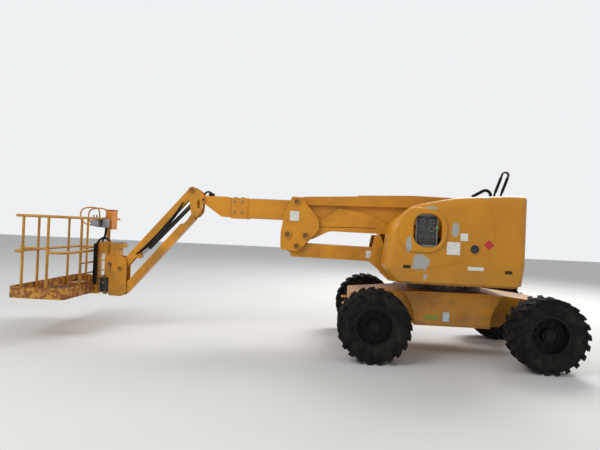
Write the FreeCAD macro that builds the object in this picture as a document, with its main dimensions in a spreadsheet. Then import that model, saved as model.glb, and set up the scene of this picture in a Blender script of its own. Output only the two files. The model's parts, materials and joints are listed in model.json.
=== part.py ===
"""Articulating boom lift, stowed: a four-wheeled chassis, a slewing turret under two hoods, two folding
arms with their parallel links, a telescopic boom, a jib and a railed basket.

Millimetres. +X points from the turret towards the basket, +Y to the machine's left, +Z up. The origin is on
the ground, in the middle of the whole machine's length and width. Every place below is worked out from the
middle between the two axles, and each piece is then moved back by half the machine's length.
"""

import FreeCAD, Part
import math
import os
import re
from FreeCAD import Placement, Rotation, Vector
from Sketcher import Constraint

# name, value and what it is
SIZES = (
    ("wheelbase", 2085, "front axle to rear axle"),
    ("track_half", 960, "machine's middle to the middle of a tyre"),
    ("tyre_radius", 458, "out to the lugs' tops"),
    ("tyre_width", 365, "over the lugs' ends"),
    ("lug_height", 24, "lug above the carcass"),
    ("lug_width", 60, "along the tread"),
    ("lug_skew", 46, "how far a lug's outer end trails its inner end"),
    ("lug_count", 22, "lugs in each of the two rows"),
    ("carcass_width", 340, "tyre across its sidewalls"),
    ("rim_radius", 250, "rim flange, outside"),
    ("rim_width", 290, "rim across its flanges"),
    ("rim_wall", 12, "rim barrel"),
    ("disc_inset", 10, "wheel disc's inner face past the tyre's middle"),
    ("disc_thick", 20, "wheel disc"),
    ("hub_radius", 88, "planetary hub in the dish"),
    ("hub_depth", 70, "planetary hub in front of the disc"),
    ("running_gap", 0.3, "between faces that turn on each other"),
    ("pin_gap", 0.3, "round a pin in its bore"),
    ("axle_height", 140, "axle beam"),
    ("axle_thick", 150, "axle beam along the machine"),
    ("kingpin_y", 700, "machine's middle to the kingpin"),
    ("kingpin_radius", 42, "kingpin barrel"),
    ("ear_thick", 26, "axle ears above and below the knuckle"),
    ("ear_span", 214, "between the axle ears"),
    ("motor_radius", 100, "wheel motor"),
    ("motor_back", 760, "machine's middle to the wheel motor's back"),
    ("chassis_half_length", 1340, "chassis end from the middle"),
    ("chassis_half_width", 600, "side panels between the wheels"),
    ("chassis_end_half_width", 440, "chassis ends between the wheels"),
    ("chassis_shoulder_x", 640, "where the side panels turn in"),
    ("chassis_neck_x", 770, "where the chassis ends begin"),
    ("chassis_bottom", 420, "chassis belly above the ground"),
    ("chassis_top", 862, "chassis deck above the ground"),
    ("chassis_ridge_x", 470, "where the deck starts to fall away"),
    ("chassis_nose_top", 768, "deck at the chassis ends"),
    ("arch_radius", 556, "wheel arch round the axle"),
    ("tie_eye_radius", 25, "lashing eyes' holes"),
    ("tie_eye_reach", 42, "lashing eyes' holes past the chassis ends"),
    ("tie_eye_thick", 22, "lashing eyes' plates"),
    ("tie_eye_y", 330, "machine's middle to the lashing eyes"),
    ("tie_eye_z", 620, "lashing eyes above the ground"),
    ("slew_radius", 500, "slewing ring"),
    ("slew_bore", 380, "slewing ring's hole"),
    ("slew_height", 68, "slewing ring's lower race"),
    ("turntable_radius", 470, "slewing ring's upper race"),
    ("turntable_height", 55, "slewing ring's upper race"),
    ("deck_thick", 25, "turret deck"),
    ("deck_front", 850, "turret deck's front edge"),
    ("deck_rear", 742, "turret deck's rear edge behind the middle"),
    ("deck_half_width", 880, "turret deck"),
    ("deck_chamfer", 260, "turret deck's cut corners"),
    ("cheek_inner", 300, "machine's middle to a turret cheek"),
    ("cheek_thick", 20, "turret cheek plate"),
    ("cheek_top", 1430, "turret cheeks' upper edge"),
    ("cheek_rear", 640, "turret cheeks' rear end behind the middle"),
    ("cheek_nose_x", 1078, "turret cheeks' foremost point"),
    ("cheek_horn_top", 1560, "turret cheeks' front horns"),
    ("ballast_rear", 782, "counterweight's back behind the middle"),
    ("ballast_half_width", 408, "counterweight"),
    ("ballast_top", 1600, "counterweight"),
    ("hood_inner", 425, "machine's middle to a hood's open side"),
    ("hood_outer", 952, "machine's middle to a hood's outer face"),
    ("hood_bottom", 1017, "hoods' lower edge"),
    ("hood_front", 936, "hoods' foremost point"),
    ("hood_tail", 785, "hoods' back behind the middle"),
    ("hood_top", 2132, "hoods' highest point"),
    ("hood_wall", 26, "hood moulding"),
    ("hood_round", 85, "hoods' rounded outer edges"),
    ("hood_hinge_z", 2045, "hoods' hinge line"),
    ("hinge_rear_x", -600, "hoods' rear hinges"),
    ("hinge_front_x", -100, "hoods' front hinges"),
    ("hinge_pin_radius", 9, "hoods' hinge pins"),
    ("hinge_post", 34, "posts that hold the hoods' hinges"),
    ("window_x", 428, "control window's middle"),
    ("window_z", 1660, "control window's middle"),
    ("window_width", 350, "control window"),
    ("window_height", 415, "control window"),
    ("window_lip", 12, "rounded edge of the control window"),
    ("bulge_width", 690, "raised rim round the control window"),
    ("bulge_height", 560, "raised rim round the control window"),
    ("bulge_depth", 26, "raised rim proud of the hood"),
    ("panel_width", 270, "ground control panel"),
    ("panel_height", 410, "ground control panel"),
    ("panel_thick", 30, "ground control panel"),
    ("panel_face_y", 890, "machine's middle to the ground control panel's face"),
    ("engine_length", 860, "engine"),
    ("engine_width", 400, "engine"),
    ("engine_height", 620, "engine"),
    ("engine_x", 80, "engine's middle behind the machine's middle"),
    ("tank_length", 520, "hydraulic oil tank"),
    ("tank_width", 380, "hydraulic oil tank"),
    ("tank_height", 640, "hydraulic oil tank"),
    ("tank_x", 330, "oil tank's middle behind the machine's middle"),
    ("block_y", 455, "engine's and tank's inner face from the machine's middle"),
    ("plate", 12, "thickness of the arms' plates"),
    ("pin_radius", 30, "arm pins"),
    ("boss_radius", 52, "round the arm pins"),
    ("side_gap", 6, "between neighbouring plates that turn"),
    ("lower_pivot_x", -20, "lower arm's rear pin"),
    ("lower_pivot_z", 1332, "lower arm's rear pin"),
    ("lower_run", 2114, "lower arm, pin to pin"),
    ("lower_rise", 30, "lower arm, pin to pin"),
    ("lower_half_width", 200, "lower arm"),
    ("lower_above", 40, "lower arm above its pins"),
    ("lower_below", 150, "lower arm below its pins"),
    ("lower_nose", 80, "lower arm past its front pin"),
    ("link_dx", 30, "lower link's pins ahead of the lower arm's"),
    ("link_dz", -85, "lower link's pins below the lower arm's"),
    ("link_height", 40, "lower link"),
    ("link_inner", 62, "machine's middle to a lower link bar"),
    ("link_outer", 90, "machine's middle to a lower link bar's face"),
    ("link_pin_radius", 16, "lower link's pins"),
    ("knuckle_inner", 252, "machine's middle to a knuckle plate"),
    ("knuckle_plate", 16, "knuckle plate"),
    ("upper_pin_dx", -120, "upper arm's front pin from the lower arm's"),
    ("upper_pin_dz", 151, "upper arm's front pin from the lower arm's"),
    ("top_pin_dx", 17, "top links' front pins from the lower arm's front pin"),
    ("top_pin_dz", 622, "top links' front pins from the lower arm's front pin"),
    ("upper_run", 2394, "upper arm, pin to pin"),
    ("upper_rise", 87, "upper arm, pin to pin"),
    ("rail_inner", 140, "machine's middle to an upper arm rail"),
    ("rail_outer", 200, "machine's middle to an upper arm rail's face"),
    ("leaf_thick", 12, "leaf plates on the upper arm"),
    ("bar_inner", 144, "machine's middle to a top link"),
    ("bar_outer", 182, "machine's middle to a top link's face"),
    ("bar_pin_radius", 22, "top links' pins"),
    ("upright_inner", 214, "machine's middle to a rear upright plate"),
    ("upright_plate", 20, "rear upright plate"),
    ("boom_pin_dx", -130, "boom's pin from the upper arm's rear pin"),
    ("boom_pin_dz", 330, "boom's pin from the upper arm's rear pin"),
    ("boom_pin_radius", 34, "boom's pin"),
    ("boom_half_width", 120, "outer boom"),
    ("boom_above", 75, "outer boom above its pin"),
    ("boom_below", 208, "outer boom below its pin"),
    ("boom_wall", 8, "outer boom's plate"),
    ("boom_tail", 100, "outer boom behind its pin"),
    ("boom_length", 3610, "outer boom ahead of its pin"),
    ("collar_length", 235, "collar at the outer boom's mouth"),
    ("collar_thick", 10, "collar round the outer boom's mouth"),
    ("pad_gap", 0.3, "between the inner boom and its wear pads"),
    ("pad_length", 70, "wear pads"),
    ("pad_width", 60, "wear pads"),
    ("inner_gap", 12, "between the outer and the inner boom"),
    ("inner_wall", 8, "inner boom's plate"),
    ("inner_rear", 800, "inner boom's rear end ahead of the boom's pin"),
    ("telescope_travel", 2400, "how far the inner boom comes out"),
    ("nose_length", 400, "boom head past the outer boom"),
    ("nose_half_width", 112, "boom head"),
    ("nose_plate", 14, "boom head's side plates"),
    ("nose_pin_dx", 410, "jib bracket's pin past the outer boom"),
    ("nose_pin_dz", 30, "jib bracket's pin above the boom's pin"),
    ("nose_pin_radius", 26, "jib bracket's pin"),
    ("bracket_outer", 92, "machine's middle to the jib bracket's face"),
    ("bracket_plate", 16, "jib bracket's plates"),
    ("jib_pin_dx", 190, "jib's pin ahead of the bracket's"),
    ("jib_pin_dz", 138, "jib's pin above the bracket's"),
    ("jib_link_dx", -45, "jib link's pins from the jib's"),
    ("jib_link_dz", -350, "jib link's pins from the jib's"),
    ("jib_run", 1023, "jib, pin to pin"),
    ("jib_drop", 1188, "jib, pin to pin"),
    ("jib_half_width", 42, "jib arm"),
    ("jib_half_height", 54, "jib arm"),
    ("jib_wall", 6, "jib arm's tube"),
    ("jib_link_half_width", 60, "jib link"),
    ("jib_link_half_height", 56, "jib link"),
    ("jib_link_plate", 8, "jib link's plates"),
    ("jib_pin_radius", 24, "jib's pins"),
    ("head_outer", 84, "machine's middle to the jib head's face"),
    ("head_plate", 14, "jib head's plates"),
    ("turn_axis_dx", 242, "basket's turning axis ahead of the jib head's upper pin"),
    ("rotator_radius", 76, "rotary actuator"),
    ("rotator_bottom_dz", -352, "rotary actuator's foot from the jib head's upper pin"),
    ("rotator_height", 200, "rotary actuator"),
    ("post_gap", 92, "basket post's back from the turning axis"),
    ("post_half_width", 55, "basket post"),
    ("post_height", 720, "basket post"),
    ("basket_gap", 150, "basket's back from the turning axis"),
    ("basket_depth", 760, "basket along the machine when it is not turned"),
    ("basket_half_width", 900, "basket across the machine"),
    ("floor_drop", 374, "basket floor's underside below the jib head's upper pin"),
    ("floor_thick", 14, "basket floor"),
    ("toe_height", 150, "toe board"),
    ("toe_thick", 6, "toe board"),
    ("rail_radius", 19, "basket's tubes"),
    ("rail_height", 1090, "top rail's middle above the floor's underside"),
    ("mid_rail_height", 615, "mid rail's middle above the floor's underside"),
    ("rail_bend", 110, "rails' corner bends"),
    ("bar_radius", 15, "sliding entry bar"),
    ("console_y", -210, "platform control box's middle from the machine's middle"),
    ("console_width", 220, "platform control box"),
    ("console_depth", 130, "platform control box"),
    ("console_height", 120, "platform control box"),
    ("document_width", 190, "document box across the machine"),
    ("document_height", 300, "document box"),
    ("document_depth", 104, "document box along the machine"),
    ("document_y", -430, "document box's far side from the machine's middle"),
    ("ram_foot_dx", 150, "arm cylinder's foot ahead of the lower arm's rear pin"),
    ("ram_foot_dz", -268, "arm cylinder's foot from the lower arm's rear pin"),
    ("ram_eye_dx", 900, "arm cylinder's eye along the lower arm"),
    ("ram_eye_dz", -60, "arm cylinder's eye from the lower arm's line"),
    ("ram_pin_radius", 20, "arm cylinder's foot pin"),
    ("boom_ram_dx", 50, "boom cylinder's foot from the upper arm's rear pin"),
    ("boom_ram_dz", -110, "boom cylinder's foot from the upper arm's rear pin"),
    ("boom_eye_dx", 1000, "boom cylinder's eye ahead of the boom's pin"),
    ("boom_eye_drop", 62, "boom cylinder's eye below the boom"),
    ("boom_ram_pin_radius", 18, "boom cylinder's foot pin"),
    ("jib_ram_dx", -5, "jib cylinder's foot from the jib's pin"),
    ("jib_ram_dz", -190, "jib cylinder's foot from the jib's pin"),
    ("jib_eye_back", 322, "jib cylinder's eye back from the jib's lower pin"),
    ("jib_eye_drop", 38, "jib cylinder's eye below the jib arm"),
    ("jib_ram_pin_radius", 13, "jib cylinder's foot pin"),
    ("barrel_radius", 50, "arm cylinder's barrel"),
    ("rod_radius", 28, "arm and boom cylinders' rods"),
    ("boom_barrel_radius", 44, "boom cylinder's barrel"),
    ("jib_barrel_radius", 31, "jib cylinder's barrel"),
    ("jib_rod_radius", 17, "jib cylinder's rod"),
    ("jib_rod_room", 60, "how much further in the jib cylinder's rod can go"),
    ("barrel_share", 0.84, "barrels' length as a share of the closed cylinders'"),
    ("hose_radius", 11, "hydraulic hose"),
    ("hose_bend", 36, "hose arch's bends"),
    ("hose_front", 48, "hose arch's front leg behind the boom's pin"),
    ("hose_rise", 575, "hose arch above the boom's pin"),
    ("hose_lean", 105, "how far the hose arch leans back"),
    ("conduit_radius", 21, "ribbed conduit"),
    ("conduit_rise", 372, "ribbed conduit above the boom's pin"),
)

# Places that follow from the sizes, as formulas of the sheet's cells
AXLE_X = "(wheelbase / 2)"
CENTRE = "((turn_x + basket_gap + basket_depth - wheelbase / 2 - tyre_radius) / 2)"
PLACES = (
    ("deck_top", "chassis_top + slew_height + running_gap + turntable_height + deck_thick"),
    ("arm_x", "lower_pivot_x + lower_run"),
    ("arm_z", "lower_pivot_z + lower_rise"),
    ("upper_x", "arm_x + upper_pin_dx"),
    ("upper_z", "arm_z + upper_pin_dz"),
    ("top_x", "arm_x + top_pin_dx"),
    ("top_z", "arm_z + top_pin_dz"),
    ("back_x", "upper_x - upper_run"),
    ("back_z", "upper_z + upper_rise"),
    ("back_top_x", "top_x - upper_run"),
    ("back_top_z", "top_z + upper_rise"),
    ("boom_x", "back_x + boom_pin_dx"),
    ("boom_z", "back_z + boom_pin_dz"),
    ("nose_x", "boom_x + boom_length + nose_pin_dx"),
    ("nose_z", "boom_z + nose_pin_dz"),
    ("jib_x", "nose_x + jib_pin_dx"),
    ("jib_z", "nose_z + jib_pin_dz"),
    ("jib_low_x", "jib_x + jib_link_dx"),
    ("jib_low_z", "jib_z + jib_link_dz"),
    ("head_x", "jib_x + jib_run"),
    ("head_z", "jib_z - jib_drop"),
    ("head_low_x", "head_x + jib_link_dx"),
    ("head_low_z", "head_z + jib_link_dz"),
    ("turn_x", "head_x + turn_axis_dx"),
    ("floor_z", "head_z - floor_drop"),
    ("basket_x", "turn_x + basket_gap"),
    ("lower_length", "hypot(lower_run; lower_rise)"),
    ("upper_length", "hypot(upper_run; upper_rise)"),
    ("jib_length", "hypot(jib_run; jib_drop)"),
)


doc = FreeCAD.newDocument("boom_lift")
sheet = doc.addObject("Spreadsheet::Sheet", "sizes")
for row, (alias, value, note) in enumerate(SIZES, start=1):
    sheet.set(f"A{row}", note)
    sheet.set(f"B{row}", str(value))
    sheet.setAlias(f"B{row}", alias)
doc.recompute()

PLACE_OF = dict(PLACES)


def spelled_out(formula):
    """A formula with each derived place replaced by the cells that it comes from."""
    words = re.compile(r"\b[a-z]\w*\b(?!\()")
    while any(word in PLACE_OF for word in words.findall(formula)):
        formula = words.sub(lambda m: f"({PLACE_OF[m[0]]})" if m[0] in PLACE_OF else m[0], formula)
    return formula


def bound(formula):
    """A formula as the document's objects read it, with every cell taken from the sheet."""
    return re.sub(r"\b(?!deg\b)[a-z]\w*\b(?!\()", lambda m: f"sizes.{m.group()}", spelled_out(str(formula)))


def number(formula):
    """What a formula comes to now."""
    value = sheet.evalExpression(bound(formula))
    return float(getattr(value, "Value", value))


def box(x0, x1, y0, y1):
    """A rectangle's four corners."""
    return [(x0, y0), (x1, y0), (x1, y1), (x0, y1)]


def circle(x, y, radius):
    """A circle of a sketch."""
    return ("circle", x, y, radius)


def tangent_points(before, corner, after, radius):
    """Where a corner's round leaves its two edges, and the round's centre."""
    to_before = (before - corner).normalize()
    to_after = (after - corner).normalize()
    half = to_before.getAngle(to_after) / 2
    reach = radius / math.tan(half)
    middle = (to_before + to_after).normalize()
    return corner + to_before * reach, corner + to_after * reach, corner + middle * (radius / math.sin(half))


PINNED = {"x": "DistanceX", "y": "DistanceY"}
ORIGIN = -1


class Piece:
    """One sub-part: a body whose features take their sizes from the sheet."""

    def __init__(self, name, x="0", y="0", z="0", pitch=None, yaw=None):
        self.name = name
        self.body = doc.addObject("PartDesign::Body", name)
        self.body.Label = name
        self.body.AllowCompound = True
        self.planes = {f.Role: f for f in self.body.Origin.OriginFeatures}
        self.count = 0
        turn = Vector(0, 1, 0) if pitch else Vector(0, 0, 1)
        self.body.Placement = Placement(Vector(), Rotation(turn, 1 if pitch or yaw else 0))
        self.body.setExpression("Placement.Base.x", bound(f"{x} - {CENTRE}"))
        self.body.setExpression("Placement.Base.y", bound(y))
        self.body.setExpression("Placement.Base.z", bound(z))
        if pitch or yaw:
            self.body.setExpression("Placement.Rotation.Angle", bound(pitch or yaw))

    def feature(self, kind, **settings):
        self.count += 1
        made = self.body.newObject(kind, f"{self.name}_{kind.split('::')[1]}_{self.count}")
        for key, value in settings.items():
            setattr(made, key, value)
        return made

    def sketch(self, plane, loops, offset="0"):
        """A sketch on one of the body's own planes, moved along that plane's normal."""
        made = self.feature("Sketcher::SketchObject")
        made.AttachmentSupport = [(self.planes[f"{plane}_Plane"], "")]
        made.MapMode = "FlatFace"
        made.setExpression("AttachmentOffset.Base.z", bound(offset))
        for loop in loops:
            if loop[0] == "circle":
                self.draw_circle(made, *loop[1:])
            else:
                self.draw_outline(made, loop)
        return made

    def tilt(self, sketch, angle, radius):
        """Turns a sketch about the body's Y axis, keeping it at the radius from that axis."""
        sketch.AttachmentOffset = Placement(Vector(), Rotation(Vector(0, 1, 0), 1))
        sketch.setExpression("AttachmentOffset.Rotation.Angle", bound(angle))
        sketch.setExpression("AttachmentOffset.Base.x", bound(f"{radius} * sin({angle})"))
        sketch.setExpression("AttachmentOffset.Base.z", bound(f"{radius} * cos({angle})"))

    def pin_down(self, sketch, geometry, point, x, y):
        """Holds one point of a sketch at its formulas."""
        for way, formula in (("x", x), ("y", y)):
            index = sketch.addConstraint(Constraint(PINNED[way], ORIGIN, 1, geometry, point, number(formula)))
            sketch.setExpression(f"Constraints[{index}]", bound(formula))

    def draw_circle(self, sketch, x, y, radius):
        centre = Vector(number(x), number(y), 0)
        index = sketch.addGeometry(Part.Circle(centre, Vector(0, 0, 1), number(radius)), False)
        self.pin_down(sketch, index, 3, x, y)
        held = sketch.addConstraint(Constraint("Radius", index, number(radius)))
        sketch.setExpression(f"Constraints[{held}]", bound(radius))

    def draw_outline(self, sketch, loop, closed=True):
        """An outline of corners (x, y) or, where a corner is rounded, (x, y, radius)."""
        corners = [Vector(number(c[0]), number(c[1]), 0) for c in loop]
        count = len(loop)
        ends = []
        for i, corner in enumerate(loop):
            if len(corner) == 3:
                into, out, centre = tangent_points(
                    corners[i - 1], corners[i], corners[(i + 1) % count], number(corner[2]))
                ends.append((into, out, centre))
            else:
                ends.append((corners[i], corners[i], None))
        lines = []
        for i in range(count if closed else count - 1):
            line = Part.LineSegment(ends[i][1], ends[(i + 1) % count][0])
            lines.append(sketch.addGeometry(line, False))
        if not closed:
            self.pin_down(sketch, lines[0], 1, *loop[0])
            self.pin_down(sketch, lines[-1], 2, *loop[-1])
        for i, corner in enumerate(loop):
            if not closed and i in (0, count - 1):
                continue
            before, after = lines[i - 1], lines[i]
            if len(corner) == 2:
                sketch.addConstraint(Constraint("Coincident", before, 2, after, 1))
                self.pin_down(sketch, after, 1, corner[0], corner[1])
                continue
            into, out, centre = ends[i]
            radius = number(corner[2])
            left = (corners[i] - corners[i - 1]).cross(corners[(i + 1) % count] - corners[i]).z > 0
            first, last = (into, out) if left else (out, into)
            start = math.atan2(first.y - centre.y, first.x - centre.x)
            stop = math.atan2(last.y - centre.y, last.x - centre.x)
            round_ = Part.ArcOfCircle(Part.Circle(centre, Vector(0, 0, 1), radius), start, stop)
            arc = sketch.addGeometry(round_, False)
            sketch.addConstraint(Constraint("Tangent", before, 2, arc, 1 if left else 2))
            sketch.addConstraint(Constraint("Tangent", after, 1, arc, 2 if left else 1))
            held = sketch.addConstraint(Constraint("Radius", arc, radius))
            sketch.setExpression(f"Constraints[{held}]", bound(corner[2]))
            apex = sketch.addGeometry(Part.Point(corners[i]), True)
            sketch.addConstraint(Constraint("PointOnObject", apex, 1, before))
            sketch.addConstraint(Constraint("PointOnObject", apex, 1, after))
            self.pin_down(sketch, apex, 1, corner[0], corner[1])

    def tube(self, route, y, radius):
        """A bent tube along a route that starts straight up or down, at a distance from the middle."""
        path = self.feature("Sketcher::SketchObject")
        path.AttachmentSupport = [(self.planes["XZ_Plane"], "")]
        path.MapMode = "FlatFace"
        path.setExpression("AttachmentOffset.Base.z", bound(f"-({y})"))
        self.draw_outline(path, route, closed=False)
        ring = self.sketch("XY", [circle(route[0][0], y, radius)], route[0][1])
        made = self.feature("PartDesign::AdditivePipe", Profile=ring)
        made.Spine = path
        path.Visibility = False
        ring.Visibility = False
        return made

    def raised(self, kind, plane, loops, low, high):
        """A pad or a pocket of the loops, from low to high along the axis that the plane faces."""
        if number(low) > number(high):
            low, high = high, low
        start = f"-({high})" if plane == "XZ" else low
        profile = self.sketch(plane, loops, start)
        made = self.feature(kind, Profile=profile)
        made.setExpression("Length", bound(f"({high}) - ({low})"))
        if kind == "PartDesign::Pocket":
            made.Reversed = True
        profile.Visibility = False
        return made

    def pad(self, plane, loops, low, high):
        return self.raised("PartDesign::Pad", plane, loops, low, high)

    def cut(self, plane, loops, low, high):
        return self.raised("PartDesign::Pocket", plane, loops, low, high)

    def pads(self, plane, loops, low, high):
        """The same pad on the machine's left and right."""
        return self.pad(plane, loops, low, high), self.pad(plane, loops, f"-({high})", f"-({low})")

    def revolve(self, plane, loops, axis):
        profile = self.sketch(plane, loops)
        made = self.feature("PartDesign::Revolution", Profile=profile)
        made.ReferenceAxis = (self.planes[f"{axis}_Axis"], [""])
        made.Angle = 360
        return made

    def repeat(self, originals, axis, count):
        made = self.feature("PartDesign::PolarPattern", Originals=originals)
        made.Axis = (self.planes[f"{axis}_Axis"], [""])
        made.Angle = 360
        made.setExpression("Occurrences", bound(count))
        self.body.Tip = made
        return made

    def fillet(self, radius, chosen):
        """Rounds the edges of the shape so far that the chooser picks."""
        doc.recompute()
        base = self.body.Tip
        names = [f"Edge{i}" for i, edge in enumerate(base.Shape.Edges, start=1) if chosen(edge)]
        made = self.feature("PartDesign::Fillet", Base=(base, names))
        made.setExpression("Radius", bound(radius))
        return made

    def bore(self, plane, x, y, radius, low, high):
        return self.cut(plane, [circle(x, y, radius)], low, high)


def slope(rise, run):
    """How far a piece pitches nose down so that its own X runs from pin to pin."""
    return f"-atan2({rise}; {run})"


def chassis_frame():
    """A box between the wheels, narrow at its ends, its deck falling away fore and aft."""
    piece = Piece("chassis_frame")
    end, neck, shoulder = "chassis_half_length", "chassis_neck_x", "chassis_shoulder_x"
    wide, narrow = "chassis_half_width", "chassis_end_half_width"
    plan = [(end, f"-{narrow}", "60"), (end, narrow, "60"), (neck, narrow), (shoulder, wide),
            (f"-{shoulder}", wide), (f"-{neck}", narrow), (f"-{end}", narrow, "60"),
            (f"-{end}", f"-{narrow}", "60"), (f"-{neck}", f"-{narrow}"), (f"-{shoulder}", f"-{wide}"),
            (shoulder, f"-{wide}"), (neck, f"-{narrow}")]
    piece.pad("XY", [plan], "chassis_bottom", "chassis_top")
    axle_top = "(tyre_radius + axle_height / 2)"
    beyond = "(chassis_half_length + 20)"
    for way in ("1", "-1"):
        ridge, tip = f"{way} * chassis_ridge_x", f"{way} * {beyond}"
        fall = [(ridge, "chassis_top"), (tip, "chassis_nose_top"), (tip, "chassis_top + 30"),
                (ridge, "chassis_top + 30")]
        piece.cut("XZ", [fall], f"-{wide} - 1", f"{wide} + 1")
        rise = [(f"{way} * {shoulder}", "chassis_bottom - 10"), (f"{way} * {neck}", axle_top),
                (tip, axle_top), (tip, "chassis_bottom - 10")]
        piece.cut("XZ", [rise], f"-{wide} - 1", f"{wide} + 1")
        arch = circle(f"{way} * {AXLE_X}", "tyre_radius", "arch_radius")
        piece.cut("XZ", [arch], narrow, f"{wide} + 1")
        piece.cut("XZ", [arch], f"-{wide} - 1", f"-{narrow}")
    tie_down_eyes(piece)


def tie_down_eyes(piece):
    """A lashing eye at each corner of the chassis, its hole upright."""
    root, tip = "(chassis_half_length - 30)", "(chassis_half_length + tie_eye_reach)"
    low, high = "tie_eye_z - tie_eye_thick / 2", "tie_eye_z + tie_eye_thick / 2"
    for way in ("1", "-1"):
        for y in ("tie_eye_y", "(-tie_eye_y)"):
            eye = [(f"{way} * {root}", f"{y} - 60"), (f"{way} * ({tip} + 48)", f"{y} - 46", "44"),
                   (f"{way} * ({tip} + 48)", f"{y} + 46", "44"), (f"{way} * {root}", f"{y} + 60")]
            piece.pad("XY", [eye], low, high)
            piece.bore("XY", f"{way} * {tip}", y, "tie_eye_radius", f"{low} - 1", f"{high} + 1")


def slew_ring():
    """The slewing ring's lower race, on the chassis deck."""
    piece = Piece("slew_ring")
    ring = [circle("0", "0", "slew_radius"), circle("0", "0", "slew_bore")]
    piece.pad("XY", ring, "chassis_top", "chassis_top + slew_height")


def axle_beam(piece, x, half_width):
    """An axle's straight beam."""
    section = box(f"{x} - axle_thick / 2", f"{x} + axle_thick / 2",
                  "tyre_radius - axle_height / 2", "tyre_radius + axle_height / 2")
    piece.pad("XZ", [section], f"-({half_width})", half_width)


MOTOR_FACE = "(track_half + disc_inset - running_gap)"


def front_axle():
    """The steered axle: a beam with an ear above and below each kingpin."""
    piece = Piece("front_axle")
    axle_beam(piece, AXLE_X, "kingpin_y - 130")
    root, tip = "(kingpin_y - 130)", "(kingpin_y + kingpin_radius)"
    half = "(ear_span / 2)"
    for side in ("1", "-1"):
        outline = [(f"{side} * {root}", f"tyre_radius - {half} - ear_thick"),
                   (f"{side} * {tip}", f"tyre_radius - {half} - ear_thick"),
                   (f"{side} * {tip}", f"tyre_radius - {half}"),
                   (f"{side} * ({root} + 40)", f"tyre_radius - {half}"),
                   (f"{side} * ({root} + 40)", f"tyre_radius + {half}"),
                   (f"{side} * {tip}", f"tyre_radius + {half}"),
                   (f"{side} * {tip}", f"tyre_radius + {half} + ear_thick"),
                   (f"{side} * {root}", f"tyre_radius + {half} + ear_thick")]
        piece.pad("YZ", [outline], f"{AXLE_X} - kingpin_radius - 10", f"{AXLE_X} + kingpin_radius + 10")


def rear_axle():
    """The fixed axle: a beam with a wheel motor at each end."""
    piece = Piece("rear_axle")
    axle_beam(piece, f"-{AXLE_X}", "motor_back")
    motor = [circle(f"-{AXLE_X}", "tyre_radius", "motor_radius")]
    piece.pads("XZ", motor, "motor_back", MOTOR_FACE)


def steering_knuckle(name, side):
    """Kingpin barrel between the axle's ears, and the wheel motor outside it."""
    piece = Piece(name)
    half = "(ear_span / 2 - running_gap)"
    pin_y = f"{side} * kingpin_y"
    kingpin = circle(AXLE_X, pin_y, "kingpin_radius")
    piece.pad("XY", [kingpin], f"tyre_radius - {half}", f"tyre_radius + {half}")
    neck = box(f"{AXLE_X} - kingpin_radius", f"{AXLE_X} + kingpin_radius", "tyre_radius - 80",
               "tyre_radius + 80")
    piece.pad("XZ", [neck], pin_y, f"{side} * (motor_back + 5)")
    motor = circle(AXLE_X, "tyre_radius", "motor_radius")
    piece.pad("XZ", [motor], f"{side} * motor_back", f"{side} * {MOTOR_FACE}")


WHEELS = (
    # name, axle's end of the wheelbase, side
    ("front_left", 1, 1),
    ("front_right", 1, -1),
    ("rear_left", -1, 1),
    ("rear_right", -1, -1),
)


def tyre(name, end, side):
    """A lugged tyre: a turned carcass and two staggered rows of slanting lugs."""
    piece = Piece(f"tyre_{name}", f"{end} * {AXLE_X}", f"{side} * track_half", "tyre_radius",
                  yaw="0" if side > 0 else "180")
    half, crown = "(carcass_width / 2)", "(tyre_radius - lug_height)"
    seat = "(rim_radius - 22)"
    bead, flange = "(rim_width / 2 - 13 - pin_gap)", "(rim_radius + pin_gap)"
    carcass = [(seat, f"-{bead}"), (seat, bead), (flange, bead), (flange, f"{half} - 22"),
               ("rim_radius + 20", f"{half} - 10", "12"), (f"{crown} * 0.78", half, "50"),
               (crown, f"{half} - 16", "22"), (crown, f"16 - {half}", "22"),
               (f"{crown} * 0.78", f"-{half}", "50"), ("rim_radius + 20", f"10 - {half}", "12"),
               (flange, f"22 - {half}"), (flange, f"-{bead}")]
    piece.revolve("XY", [carcass], "Y")
    lugs = []
    lug_top = "sqrt(tyre_radius ^ 2 - (lug_width / 2 + lug_skew) ^ 2)"
    for way, turn in (("1", "0"), ("-1", "180 deg / lug_count")):
        near, far = f"{way} * 12", f"{way} * tyre_width / 2"
        bar = [("lug_width / 2", near), ("lug_width / 2 - lug_skew", far), ("-lug_width / 2 - lug_skew", far),
               ("-lug_width / 2", near)]
        lugs.append(piece.pad("XY", [bar], f"{crown} - 14", lug_top))
        if turn != "0":
            piece.tilt(lugs[-1].Profile[0], turn, f"({crown} - 14)")
    piece.repeat(lugs, "Y", "lug_count")


def rim(name, end, side):
    """A deep-dished wheel: flanged barrel, disc and planetary hub."""
    piece = Piece(f"rim_{name}", f"{end} * {AXLE_X}", f"{side} * track_half", "tyre_radius",
                  yaw="0" if side > 0 else "180")
    edge, seat = "(rim_width / 2)", "(rim_radius - 22.3)"
    inside = f"({seat} - rim_wall)"
    disc_out = "(disc_inset + disc_thick)"
    section = [("0", "disc_inset"), (inside, "disc_inset"), (inside, f"-{edge}"),
               ("rim_radius", f"-{edge}"), ("rim_radius", f"-{edge} + 13"), (seat, f"-{edge} + 13"),
               (seat, f"{edge} - 13"), ("rim_radius", f"{edge} - 13"), ("rim_radius", edge), (inside, edge),
               (inside, disc_out), ("hub_radius", disc_out), ("hub_radius - 8", f"{disc_out} + hub_depth"),
               ("0", f"{disc_out} + hub_depth")]
    piece.revolve("XY", [section], "Y")


HINGES = ("hinge_rear_x", "hinge_front_x")


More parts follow.
